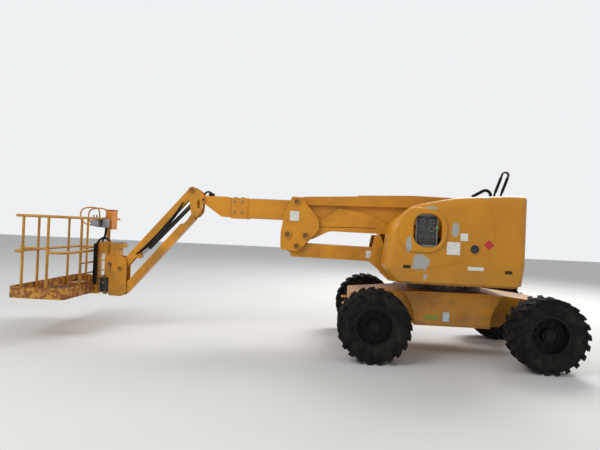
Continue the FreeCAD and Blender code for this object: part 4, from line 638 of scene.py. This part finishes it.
HOOD_FACE = 0.952
DOOR_CREASE = (
    (0.724, 1.131), (0.186, 1.244), (-0.151, 1.322), (-0.34, 1.42), (-0.40, 1.53), (-0.382, 1.727),
    (-0.326, 2.013),
)
CREASE_RADIUS, PANEL_LINE_RADIUS = 0.005, 0.003
PANEL_REAR, PANEL_FRONT, PANEL_BOTTOM, PANEL_TOP = -0.325, -0.033, 1.749, 2.000
SERVICE_PANEL = (
    (PANEL_REAR, PANEL_BOTTOM), (PANEL_FRONT, PANEL_BOTTOM), (PANEL_FRONT, PANEL_TOP),
    (PANEL_REAR, PANEL_TOP), (PANEL_REAR, PANEL_BOTTOM),
)
LATCHES = ((0.663, 1.202), (-0.572, 1.186))
LATCH_RECESS, LATCH_PADDLE = (0.090, 0.012, 0.040), (0.054, 0.012, 0.014)
FILLER_ALONG, FILLER_HEIGHT, FILLER_RADIUS, FILLER_RECESS = -0.154, 1.452, 0.066, 0.055


class LIFT_OT_hoods(LiftOperator, bpy.types.Operator):
    """Adds the hoods' door beads, latches with painted shade in their recesses, and filler recesses"""
    bl_idname = "lift.hoods"
    bl_label = "Hood panels"

    def execute(self, context):
        for side in (LEFT, RIGHT):
            word = SIDE_NAME[side]
            hood = f"hood_{word}"
            out = Vector((0, side, 0))
            face = HOOD_FACE * side
            crease = strand([at(x, face, z) for x, z in DOOR_CREASE], CREASE_RADIUS)
            line = [at(x, face - 0.001 * side, z) for x, z in SERVICE_PANEL]
            beads = joined([crease, strand(line, PANEL_LINE_RADIUS, False)])
            done(beads, f"door_beads_{word}", hood, "hood_gelcoat")
            # Dark blocks of painted shade in the latches' recesses
            recesses = [slab(at(x, face, z), LATCH_RECESS, 0.014) for x, z in LATCHES]
            done(joined(recesses), f"latch_recess_shade_{word}", hood, "door_seam_shadow")
            paddles = [slab(at(x, face + side * 0.006, z + 0.004), LATCH_PADDLE, 0.004) for x, z in LATCHES]
            done(joined(paddles), f"latch_paddles_{word}", hood, "black_abs")
            filler = at(FILLER_ALONG, face - side * 0.004, FILLER_HEIGHT)
            lip = band(filler, out, FILLER_RADIUS, 0.014, 0.012)
            done(lip, f"filler_lip_{word}", hood, "hood_gelcoat")
            recess = disc(filler + out * 0.004, out, FILLER_RECESS, 0.008, 0.25, 0.2)
            done(recess, f"filler_recess_{word}", hood, "black_abs")
        return {"FINISHED"}


# Ground controls: places are across and up from the middle of their plate

PLATE_ALONG, PLATE_HEIGHT, PLATE = 0.428, 1.660, (0.235, 0.008, 0.350)
GAUGES = (
    # across, up, radius
    (-0.060, 0.110, 0.030),
    (0.055, 0.115, 0.026),
    (-0.055, 0.020, 0.034),
    (0.060, 0.030, 0.022),
    (-0.070, -0.075, 0.020),
    (0.000, -0.085, 0.024),
    (0.070, -0.080, 0.018),
)
GAUGE_FACE, SWITCH_TIP = 0.006, 0.030
SWITCHES_ACROSS, SWITCHES_UP = (-0.09, -0.03, 0.03, 0.09), -0.13
MARK_PLACE, MARK = (-0.125, 0.0105, 0.040), (0.040, 0.003, 0.040)


class LIFT_OT_controls(LiftOperator, bpy.types.Operator):
    """Adds the dials, switches and mark on the panel behind the left hood's window"""
    bl_idname = "lift.controls"
    bl_label = "Ground controls"

    def execute(self, context):
        out = (0, LEFT, 0)
        centre = at(PLATE_ALONG, high("control_panel").y, PLATE_HEIGHT)
        plate = slab(centre + Vector((0, 0.003, 0)), PLATE, 0.004)
        done(plate, "panel_plate", "turret", "panel_steel")
        rims, dials = [], []
        for across, up, radius in GAUGES:
            spot = centre + Vector((across, GAUGE_FACE, up))
            rims.append(band(spot, out, radius, 0.016, radius * 0.22, 20))
            dials.append(disc(spot, out, radius * 0.8, 0.010, 0.3, 0.2, 20))
        done(joined(rims), "panel_gauge_rims", "turret", "zinc_bolt")
        done(joined(dials), "panel_gauge_faces", "turret", "black_abs")
        levers = [[centre + Vector((x, GAUGE_FACE, SWITCHES_UP)),
                   centre + Vector((x, SWITCH_TIP, SWITCHES_UP + 0.006))] for x in SWITCHES_ACROSS]
        done(strands(levers, 0.004), "panel_switches", "turret", "zinc_bolt")
        mark = slab(centre + Vector(MARK_PLACE), MARK, 0.0008, 1)
        done(mark, "panel_mark", "turret", "green_vinyl")
        return {"FINISHED"}


# Blank labels and plates

KNUCKLE_FACE = 0.268
LABELS = (
    # name, body, ahead of the slewing axis, face from the middle, height, width, tallness, finish
    ("white_label", "hood_left", 0.104, HOOD_FACE, 1.452, 0.160, 0.160, "white_vinyl"),
    ("small_label", "hood_left", -0.021, HOOD_FACE, 1.596, 0.090, 0.092, "white_vinyl"),
    ("serial_plate", "hood_left", -0.175, HOOD_FACE, 1.213, 0.190, 0.043, "white_vinyl"),
    ("knuckle_plate", "front_knuckle", 2.138, KNUCKLE_FACE, 1.785, 0.130, 0.135, "white_vinyl"),
    # These two labels' films carry painted shade: the white one tinted pale blue, the lime one darkened
    ("chassis_label", "chassis", 0.080, 0.600, 0.545, 0.085, 0.120, "shaded_white_vinyl"),
    ("lime_plate", "chassis", 0.270, 0.600, 0.530, 0.175, 0.070, "shaded_lime_vinyl"),
    ("arm_label", "lower_arm", 1.085, 0.200, 1.290, 0.072, 0.105, "white_vinyl"),
)
DIAMOND_ALONG, DIAMOND_HEIGHT, DIAMOND_SIDE = -0.323, 1.513, 0.094
LABEL_BEVEL = 0.0006


class LIFT_OT_labels(LiftOperator, bpy.types.Operator):
    """Adds the blank labels and plates"""
    bl_idname = "lift.labels"
    bl_label = "Labels"

    def execute(self, context):
        thick = sizes().label
        for name, body, x, face, z, width, tall, finish in LABELS:
            label = slab(at(x, face + thick / 2, z), (width, thick, tall), LABEL_BEVEL, 1)
            done(label, name, body, finish)
        diamond = slab((0, 0, 0), (DIAMOND_SIDE, thick, DIAMOND_SIDE), LABEL_BEVEL, 1)
        place = at(DIAMOND_ALONG, HOOD_FACE + thick / 2, DIAMOND_HEIGHT)
        diamond.matrix_world = Matrix.Translation(place) @ Matrix.Rotation(math.radians(45), 4, "Y")
        done(diamond, "red_diamond", "hood_left", "red_vinyl")
        return {"FINISHED"}


# Structural pins

PIN_CAPS = (
    # pin's joint, body, machine's middle to the pin's end, radius
    ("arm_raise", "turret", 0.320, 0.050),
    ("front_knuckle_level", "front_knuckle", KNUCKLE_FACE, 0.052),
    ("upper_arm_pivot", "front_knuckle", 0.276, 0.052),
    ("top_links_pivot", "front_knuckle", KNUCKLE_FACE, 0.046),
    ("rear_upright_level", "rear_upright", 0.234, 0.046),
    ("boom_raise", "rear_upright", 0.234, 0.050),
    ("jib_bracket_level", "boom_inner", 0.112, 0.040),
    ("jib_raise", "jib_bracket", 0.092, 0.038),
    ("jib_head_level", "jib_head", 0.084, 0.040),
)
# A second pin in the same plates, where there is one: ahead of the slewing axis, height
SECOND_PIN = {"upper_arm_pivot": (2.224, 1.524)}
# Shares of a cap's radius: the collar's wall, the pin, and the keeper bolt's place beside it
COLLAR_WALL, PIN_SHARE, KEEPER_ALONG, KEEPER_UP = 0.28, 0.72, 0.95, 0.75
COLLAR_DEPTH, PIN_DEPTH, KEEPER_SHARE = 0.014, 0.010, 0.5


def pin_ends(centre, reach, radius):
    """A collar and a rusty pin with a keeper bolt beside it, on both sides of the machine."""
    collars, pins = [], []
    for side in (LEFT, RIGHT):
        out = Vector((0, side, 0))
        end = Vector((centre.x, reach * side, centre.z))
        collars.append(band(end, out, radius, COLLAR_DEPTH, radius * COLLAR_WALL))
        keeper = end + Vector((radius * KEEPER_ALONG, 0, radius * KEEPER_UP))
        collars.append(copies(bolt(sizes().bolt * KEEPER_SHARE), [(keeper, out)]))
        pins.append(disc(end, out, radius * PIN_SHARE, PIN_DEPTH, 0.3, 0.3))
    return collars, pins


class LIFT_OT_pins(LiftOperator, bpy.types.Operator):
    """Adds the structural pins' collars, ends and keeper bolts"""
    bl_idname = "lift.pins"
    bl_label = "Pin ends"

    def execute(self, context):
        for joint, body, reach, radius in PIN_CAPS:
            collars, pins = pin_ends(PIN[joint], reach, radius)
            if joint in SECOND_PIN:
                along, up = SECOND_PIN[joint]
                more_collars, more_pins = pin_ends(at(along, 0, up), reach, radius)
                collars += more_collars
                pins += more_pins
            done(joined(collars), f"{joint}_collars", body, "arm_enamel")
            done(joined(pins), f"{joint}_pins", body, "rusty_pin")
        return {"FINISHED"}


# Boom, upper arm and hose arch

BOOM_HALF, BOOM_ROOF, BOOM_FLOOR = 0.120, 2.005, 1.722
COLLAR_FROM_MOUTH, COLLAR_HALF, COLLAR_ROOF = 0.100, 0.130, 2.011
COLLAR_BOLTS_ALONG, COLLAR_BOLTS_UP, COLLAR_BOLTS_ACROSS = (-0.055, 0.055), (0.085, 0.235), (-0.07, 0.07)
WELDS_FROM_TAIL, WELD = (1.2, 2.45), (0.016, 0.006, 0.22)
PIPES_FROM_TAIL, PIPES_FROM_MOUTH, PIPES_ACROSS, PIPE_RADIUS = 0.4, 0.26, (-0.085, -0.062), 0.006
NOSE_COVER, NOSE_COVER_BACK, NOSE_COVER_FOOT = (0.075, 0.10, 0.044), 0.085, 2.024
NOSE_HOSE = ((-0.10, 2.05), (-0.07, 2.085), (-0.01, 2.085), (0.02, 2.045))
# Points of the painted shade along the upper arm's seams: ahead of the slewing axis, height
ARM_SEAM = ((1.98, 1.64), (1.55, 1.655), (1.0, 1.66))
SADDLE_PLACE, SADDLE = (-0.640, 0.190, 2.060), (0.16, 0.075, 0.070)
SLEEVES_ALONG, SLEEVES_ACROSS, SLEEVES_UP = (-0.095, -0.183), 0.1915, 0.400
SLEEVE, SLEEVE_LEAN = (0.052, 0.034, 0.232), (-0.105, 0, 0.315)


class LIFT_OT_boom(LiftOperator, bpy.types.Operator):
    """Adds the boom's bolts, weld beads, pipes and nose hose, painted shade along the arm's seams, and the
    arch's sleeves
    """
    bl_idname = "lift.boom"
    bl_label = "Boom fittings"

    def execute(self, context):
        tail, mouth = low("boom_outer").x, high("boom_outer").x
        collar = mouth - COLLAR_FROM_MOUTH
        bolts = [((collar + x, COLLAR_HALF * side, BOOM_FLOOR + up), (0, side, 0))
                 for side in (LEFT, RIGHT) for x in COLLAR_BOLTS_ALONG for up in COLLAR_BOLTS_UP]
        bolts += [((collar + x, y, COLLAR_ROOF), UP)
                  for x in COLLAR_BOLTS_ALONG for y in COLLAR_BOLTS_ACROSS]
        done(copies(bolt(sizes().bolt * 0.7), bolts), "collar_bolts", "boom_outer", "zinc_bolt")
        half_way = (BOOM_ROOF + BOOM_FLOOR) / 2
        beads = [slab((tail + x, side * BOOM_HALF, half_way), WELD, 0.0025)
                 for side in (LEFT, RIGHT) for x in WELDS_FROM_TAIL]
        done(joined(beads), "boom_weld_beads", "boom_outer", "boom_enamel")
        height = BOOM_ROOF + 0.007
        pipes = [[(tail + PIPES_FROM_TAIL, y, height), (mouth - PIPES_FROM_MOUTH, y, height)]
                 for y in PIPES_ACROSS]
        done(strands(pipes, PIPE_RADIUS, False), "boom_top_pipes", "boom_outer", "oily_steel")
        nose = PIN["jib_bracket_level"].x
        cover = slab((nose - NOSE_COVER_BACK, 0, NOSE_COVER_FOOT + NOSE_COVER[2] / 2), NOSE_COVER, 0.012)
        hose = strand([(nose + x, 0.03, z) for x, z in NOSE_HOSE], 0.014)
        done(joined([cover, hose]), "nose_hose_guide", "boom_inner", "hose_rubber")
        # Dark strands of painted shade along the upper arm's seams
        seams = [[at(x, 0.2 * side, z) for x, z in ARM_SEAM] for side in (LEFT, RIGHT)]
        done(strands(seams, 0.004), "upper_arm_seam_shade", "upper_arm", "door_seam_shadow")
        done(slab(at(*SADDLE_PLACE), SADDLE, 0.014), "hose_saddle", "rear_upright", "hose_rubber")
        sleeves = []
        for along in SLEEVES_ALONG:
            place = PIN["boom_raise"] + Vector((along, SLEEVES_ACROSS, SLEEVES_UP))
            sleeves.append(turned(slab((0, 0, 0), SLEEVE, 0.016, 4), place, SLEEVE_LEAN))
        done(joined(sleeves), "hose_sleeves", "rear_upright", "hose_rubber")
        return {"FINISHED"}


# Turret

RING_BOLT_CIRCLE, RING_BOLT_COUNT = 0.485, 30
FIN_COUNT, FIN, FIN_INSET, FIN_UP = 9, (0.012, 0.014, 0.40), 0.08, 0.28
OIL_CAP_RADIUS, OIL_CAP_DEPTH = 0.06, 0.05


class LIFT_OT_turret(LiftOperator, bpy.types.Operator):
    """Adds the slewing ring's bolts, the engine's fins and the oil tank's cap"""
    bl_idname = "lift.turret"
    bl_label = "Turret fittings"

    def execute(self, context):
        foot = at(0, 0, high("slew_ring").z - 0.004)
        bolts = copies(bolt(sizes().bolt), ring_of(foot, UP, RING_BOLT_CIRCLE, RING_BOLT_COUNT))
        done(bolts, "slew_ring_bolts", "chassis", "zinc_bolt")
        rear, front = low("engine_block"), high("engine_block")
        pitch = (front.x - rear.x - 2 * FIN_INSET) / (FIN_COUNT - 1)
        fins = [slab((rear.x + FIN_INSET + step * pitch, rear.y - 0.006, rear.z + FIN_UP), FIN, 0.003)
                for step in range(FIN_COUNT)]
        done(joined(fins), "engine_fins", "turret", "oily_steel")
        filler = middle("hydraulic_tank")
        filler.z = high("hydraulic_tank").z
        done(disc(filler, UP, OIL_CAP_RADIUS, OIL_CAP_DEPTH), "oil_filler", "turret", "black_abs")
        return {"FINISHED"}


# Chassis

MOTOR_FACE, WHEEL_HEIGHT = 0.7602, 0.458
MOTOR_BOLT_CIRCLE, MOTOR_BOLT_COUNT, MOTOR_BOLT_START = 0.085, 8, 0.4
SEAM_LENGTH, SEAM_FACE, SEAM_INSET = 1.00, 0.6015, 0.03


class LIFT_OT_chassis(LiftOperator, bpy.types.Operator):
    """Adds the wheel motors' bolts and the side panels' seams"""
    bl_idname = "lift.chassis"
    bl_label = "Chassis fittings"

    def execute(self, context):
        for side in (LEFT, RIGHT):
            word = SIDE_NAME[side]
            back = Vector((middle(f"steering_knuckle_{word}").x, MOTOR_FACE * side, WHEEL_HEIGHT))
            places = ring_of(back, (0, -side, 0), MOTOR_BOLT_CIRCLE, MOTOR_BOLT_COUNT, MOTOR_BOLT_START)
            bolts = copies(bolt(sizes().bolt * 0.6), places)
            done(bolts, f"motor_bolts_{word}", f"knuckle_{word}", "zinc_bolt")
        x = middle("chassis_frame").x
        foot, top = low("chassis_frame").z + SEAM_INSET, high("chassis_frame").z - SEAM_INSET
        seams = []
        for side in (LEFT, RIGHT):
            for height, width in ((foot, 0.016), (top, 0.014)):
                seams.append(slab((x, SEAM_FACE * side, height), (SEAM_LENGTH, 0.006, width), 0.003))
        done(joined(seams), "side_panel_seams", "chassis", "chassis_enamel")
        return {"FINISHED"}


# Jib

JIB_HOSE_COUNT, JIB_HOSE_SHARE, JIB_HOSE_ACROSS = 3, 0.8, 0.0695
JIB_HOSE_DROP, JIB_HOSE_PITCH = 0.050, 0.017
PORT_FACE, PORT_UP, PORT_STAGGER, PORT_RADIUS, PORT_DEPTH = 0.0745, 0.14, 0.03, 0.016, 0.005
HEAD_BOLTS_BACK, HEAD_BOLTS_ACROSS, HEAD_BOLT = (0.12, 0.20, 0.26), (-0.045, 0.045), 0.022
COLUMN_AHEAD, COLUMN_DROPS = 0.122, (0.02, 0.3, 0.62)
COLUMN_HOSES = ((-0.010, 0.078), (0.012, 0.079), (0.034, 0.078))
LOOP_HOSES = ((0.068, 0.0), (0.050, 0.022), (0.030, 0.010))


class LIFT_OT_jib(LiftOperator, bpy.types.Operator):
    """Adds the jib's hoses, the rotary actuator's ports, and the head's bolts and hoses"""
    bl_idname = "lift.jib"
    bl_label = "Jib fittings"

    def execute(self, context):
        self.arm_hoses()
        turn, foot, top = PIN["basket_turn"].x, low("rotator").z, high("jib_head").z
        ports = []
        for side in (LEFT, RIGHT):
            place = (turn, PORT_FACE * side, foot + PORT_UP + PORT_STAGGER * side)
            ports.append(disc(place, (0, side, 0), PORT_RADIUS, PORT_DEPTH, 0.3, 0.2, 12))
        done(joined(ports), "rotator_ports", "jib_head", "zinc_bolt")
        bolts = [((turn - x, y, top), UP) for x in HEAD_BOLTS_BACK for y in HEAD_BOLTS_ACROSS]
        done(copies(bolt(HEAD_BOLT), bolts), "head_top_bolts", "jib_head", "zinc_bolt")
        ahead = turn + COLUMN_AHEAD
        column = [[(ahead + x, y, top - drop) for drop in COLUMN_DROPS] for x, y in COLUMN_HOSES]
        loops = [[(ahead, y, top - 0.02), (turn + 0.10, y, top + 0.05),
                  (turn + 0.02, y * 0.6, top + 0.065 + lift), (turn - 0.03, y * 0.2, top + 0.04),
                  (turn - 0.035, -y * 0.4, top + 0.012)] for y, lift in LOOP_HOSES]
        done(strands(column + loops, sizes().hose), "swivel_hoses", "basket", "hose_rubber")
        return {"FINISHED"}

    def arm_hoses(self):
        """Hoses under the jib's arm, on its left and clear of the link."""
        start, end = PIN["jib_raise"], PIN["jib_head_level"]
        along = (end - start).normalized()
        under = Vector((along.z, 0, -along.x))
        side = Vector((0, JIB_HOSE_ACROSS, 0))
        routes = []
        for row in range(JIB_HOSE_COUNT):
            drop = under * (JIB_HOSE_DROP + JIB_HOSE_PITCH * row)
            path = (start + along * 0.22 + under * 0.020, start + along * 0.34 + drop,
                    start + along * 0.80 + drop + under * 0.012, end - along * 0.42 + drop,
                    end - along * 0.31 + under * 0.030)
            routes.append([point + side for point in path])
        done(strands(routes, sizes().hose * JIB_HOSE_SHARE), "jib_hoses", "jib_arm", "hose_rubber")


# Basket

TREAD_COUNT, TREAD_BAR, TREAD_INSET, DECK_UP = 14, (0.010, 1.72, 0.006), 0.04, 0.014
RAIL_RADIUS, HOOP_RADIUS = 0.019, 0.011
HOOP = (
    # ahead of the rail, up from the rail's top, whether the lift of the hoop is added
    (0, 0, False), (0, 0.10, True), (0.03, 0.155, True), (0.12, 0.165, True), (0.25, 0.15, True),
    (0.30, 0.09, True), (0.29, -0.04, False), (0.19, -0.10, False), (0.145, -0.10, False),
)
JOYSTICK_COUNT, JOYSTICK_PITCH = 3, 0.09
BOX_LID, SOCKET_BOX = (0.118, 0.193, 0.020), (0.090, 0.080, 0.130)
CABLE_COUNT, CABLE_PITCH, CABLE_SHARE = 4, 0.016, 0.9
BRACE_HEIGHTS, BRACE_FROM, BRACE_TO, BRACE_RADIUS = (0.836, 0.984, 1.20), 0.052, 0.437, 0.012
FLOOR_STEP = (0.17, 0.24, 0.158)


class LIFT_OT_basket(LiftOperator, bpy.types.Operator):
    """Adds the basket's tread, hoops, joysticks, boxes, cables, braces and step"""
    bl_idname = "lift.basket"
    bl_label = "Basket fittings"

    def execute(self, context):
        rear, front = low("basket_floor"), high("basket_floor").x
        deck = rear.z + DECK_UP
        pitch = (front - rear.x - 2 * TREAD_INSET) / (TREAD_COUNT - 1)
        bars = [slab((rear.x + TREAD_INSET + step * pitch, 0, deck + 0.003), TREAD_BAR, 0.002, 1)
                for step in range(TREAD_COUNT)]
        done(joined(bars), "floor_tread", "basket", "oily_steel")
        rail = low("basket_rails").x + RAIL_RADIUS
        self.console_fittings(rail, high("basket_rails").z - RAIL_RADIUS)
        self.box_fittings(rail)
        braces = [[(rail + 0.002, BRACE_FROM * side, z), (rail + 0.002, BRACE_TO * side, z)]
                  for side in (LEFT, RIGHT) for z in BRACE_HEIGHTS]
        done(strands(braces, BRACE_RADIUS, False), "post_braces", "basket", "rail_enamel")
        step_block = slab((rear.x + 0.13, 0.26, deck + 0.080), FLOOR_STEP, 0.010)
        done(step_block, "floor_step", "basket", "toe_board_enamel")
        return {"FINISHED"}

    def console_fittings(self, rail, roof):
        """The two guard hoops over the control console, and its joysticks."""
        near, far, centre = low("control_console"), high("control_console"), middle("control_console")
        hoops = []
        for y, lift in ((far.y + 0.015, 0.0), (near.y - 0.015, -0.004)):
            hoops.append([(rail + x, y, roof + up + (lift if lifted else 0.0)) for x, up, lifted in HOOP])
        done(strands(hoops, HOOP_RADIUS), "console_hoops", "basket", "rail_enamel")
        knobs = []
        for step in range(JOYSTICK_COUNT):
            y = centre.y + JOYSTICK_PITCH * (step - 1)
            spot = Vector((centre.x + 0.02, y, far.z - 0.052))
            knobs.append(band(spot, UP, 0.018, 0.012, 0.006, 20))
            stick = [spot, spot + Vector((0, 0, 0.06)), spot + Vector((0.005, 0, 0.085))]
            knobs.append(strand(stick, 0.009))
        done(joined(knobs), "joysticks", "basket", "black_abs")

    def box_fittings(self, rail):
        """The document box's lid, the socket box beside it and the cables down to the floor."""
        top, centre = high("document_box"), middle("document_box")
        lid = slab((centre.x, centre.y, top.z - 0.005), BOX_LID, 0.005)
        done(lid, "document_box_lid", "basket", "red_polyethylene")
        socket = slab((centre.x + 0.02, top.y + 0.045, centre.z - 0.06), SOCKET_BOX, 0.008)
        done(socket, "socket_box", "basket", "grey_cover_paint")
        start = centre.z - 0.12
        cables = []
        for step in range(CABLE_COUNT):
            y = top.y + 0.02 + CABLE_PITCH * step
            cables.append([(centre.x + 0.015, y, start), (centre.x + 0.01, y, start - 0.10),
                           (rail - 0.035, y * 0.7, start - 0.20), (rail - 0.05, y * 0.45, start - 0.30),
                           (rail - 0.052, -0.062 + step * 0.004, start - 0.52)])
        done(strands(cables, sizes().hose * CABLE_SHARE), "basket_cables", "basket", "hose_rubber")


# Stage

LAMPS = (
    # name, place, watts, side of the square
    ("key_lamp", (6, 8, 9), 620, 6),
    ("back_lamp", (-6, -7, 9), 1100, 6),
)
LAMP_AIM = Vector((0, 0, 1))
CAMERA_PLACE, SENSOR_WIDTH = (1.6165, 7.242, 1.6453), 36


class LIFT_OT_stage(LiftOperator, bpy.types.Operator):
    """Sets up the floor, the lamps and the camera"""
    bl_idname = "lift.stage"
    bl_label = "Stage"

    def execute(self, context):
        deselect()
        bpy.ops.mesh.primitive_plane_add(size=60, location=(0, 0, 0))
        floor = bpy.context.object
        floor.name = "stage_floor"
        floor.data.materials.append(pale_floor())
        pale_world(context)
        for name, place, watts, size in LAMPS:
            bpy.ops.object.light_add(type="AREA", location=place)
            lamp = bpy.context.object
            lamp.name = name
            lamp.data.energy = watts
            lamp.data.size = size
            lamp.rotation_euler = (LAMP_AIM - Vector(place)).to_track_quat("-Z", "Y").to_euler()
        camera_like_photo(context)
        return {"FINISHED"}


def pale_floor():
    """Smooth pale studio floor."""
    made, tree, shader, coords = new_material("pale_floor")
    tone = mixed(tree, clouds(tree, coords, 1500, 3.0), hexed("#D6D4D0"), hexed("#DEDCD8"))
    feed(tree, shader, {"Base Color": tone, "Roughness": 0.9})
    return made


def pale_world(context):
    """A pale backdrop for the camera and for reflections, and plain soft light for the rest."""
    world = context.scene.world or bpy.data.worlds.new("pale_world")
    context.scene.world = world
    world.use_nodes = True
    tree = world.node_tree
    tree.nodes.clear()
    rays = add(tree, "ShaderNodeLightPath").outputs
    seen = figured(tree, "MAXIMUM", rays["Is Camera Ray"], rays["Is Glossy Ray"])
    through = figured(tree, "MAXIMUM", seen, rays["Is Transmission Ray"])
    light = add(tree, "ShaderNodeBackground", {"Color": hexed("#E8EDF2"), "Strength": 0.62})
    backdrop = add(tree, "ShaderNodeBackground", {"Color": hexed("#EEF0F2"), "Strength": 1.0})
    sources = {0: through, 1: light.outputs["Background"], 2: backdrop.outputs["Background"]}
    mix = add(tree, "ShaderNodeMixShader", sources)
    add(tree, "ShaderNodeOutputWorld", {"Surface": mix.outputs["Shader"]})


def camera_like_photo(context):
    """A camera at the photo's place: on the machine's left, ahead of the slewing axis, at eye height."""
    stage = context.scene.lift_stage
    bpy.ops.object.camera_add(location=at(*CAMERA_PLACE))
    camera = context.object
    camera.name = "photo_camera"
    camera.data.lens = stage.lens
    camera.data.sensor_width = SENSOR_WIDTH
    around = Matrix.Rotation(math.pi - stage.yaw, 3, "Z")
    tilted = Matrix.Rotation(math.pi / 2 + stage.pitch, 3, "X")
    leant = Matrix.Rotation(-stage.roll, 3, "Z")
    camera.rotation_euler = (around @ tilted @ leant).to_euler()
    context.scene.camera = camera
    context.scene.view_settings.view_transform = "Standard"


class LIFT_PT_dressing(bpy.types.Panel):
    """Lists the pieces in the order in which they are made"""
    bl_idname = "LIFT_PT_dressing"
    bl_label = "Boom lift"
    bl_space_type = "VIEW_3D"
    bl_region_type = "UI"
    bl_category = "Boom Lift"

    def draw(self, context):
        for step in STEPS:
            self.layout.operator(step.bl_idname)
        for group in (context.scene.lift_paint, context.scene.lift_sizes, context.scene.lift_stage):
            box = self.layout.box()
            for key in group.__annotations__:
                box.prop(group, key)


STEPS = (LIFT_OT_stage, LIFT_OT_paint, LIFT_OT_wheels, LIFT_OT_hoods, LIFT_OT_controls, LIFT_OT_labels,
         LIFT_OT_pins, LIFT_OT_boom, LIFT_OT_turret, LIFT_OT_chassis, LIFT_OT_jib, LIFT_OT_basket)
CLASSES = (LiftPaint, LiftSizes, LiftStage) + STEPS + (LIFT_PT_dressing,)


def register():
    for item in CLASSES:
        bpy.utils.register_class(item)
    bpy.types.Scene.lift_paint = PointerProperty(type=LiftPaint)
    bpy.types.Scene.lift_sizes = PointerProperty(type=LiftSizes)
    bpy.types.Scene.lift_stage = PointerProperty(type=LiftStage)


def unregister():
    del bpy.types.Scene.lift_stage
    del bpy.types.Scene.lift_sizes
    del bpy.types.Scene.lift_paint
    for item in reversed(CLASSES):
        bpy.utils.unregister_class(item)


def main():
    """Makes everything in order."""
    register()
    for step in STEPS:
        area, name = step.bl_idname.split(".")
        getattr(getattr(bpy.ops, area), name)()
    deselect()


if __name__ == "__main__":
    main()
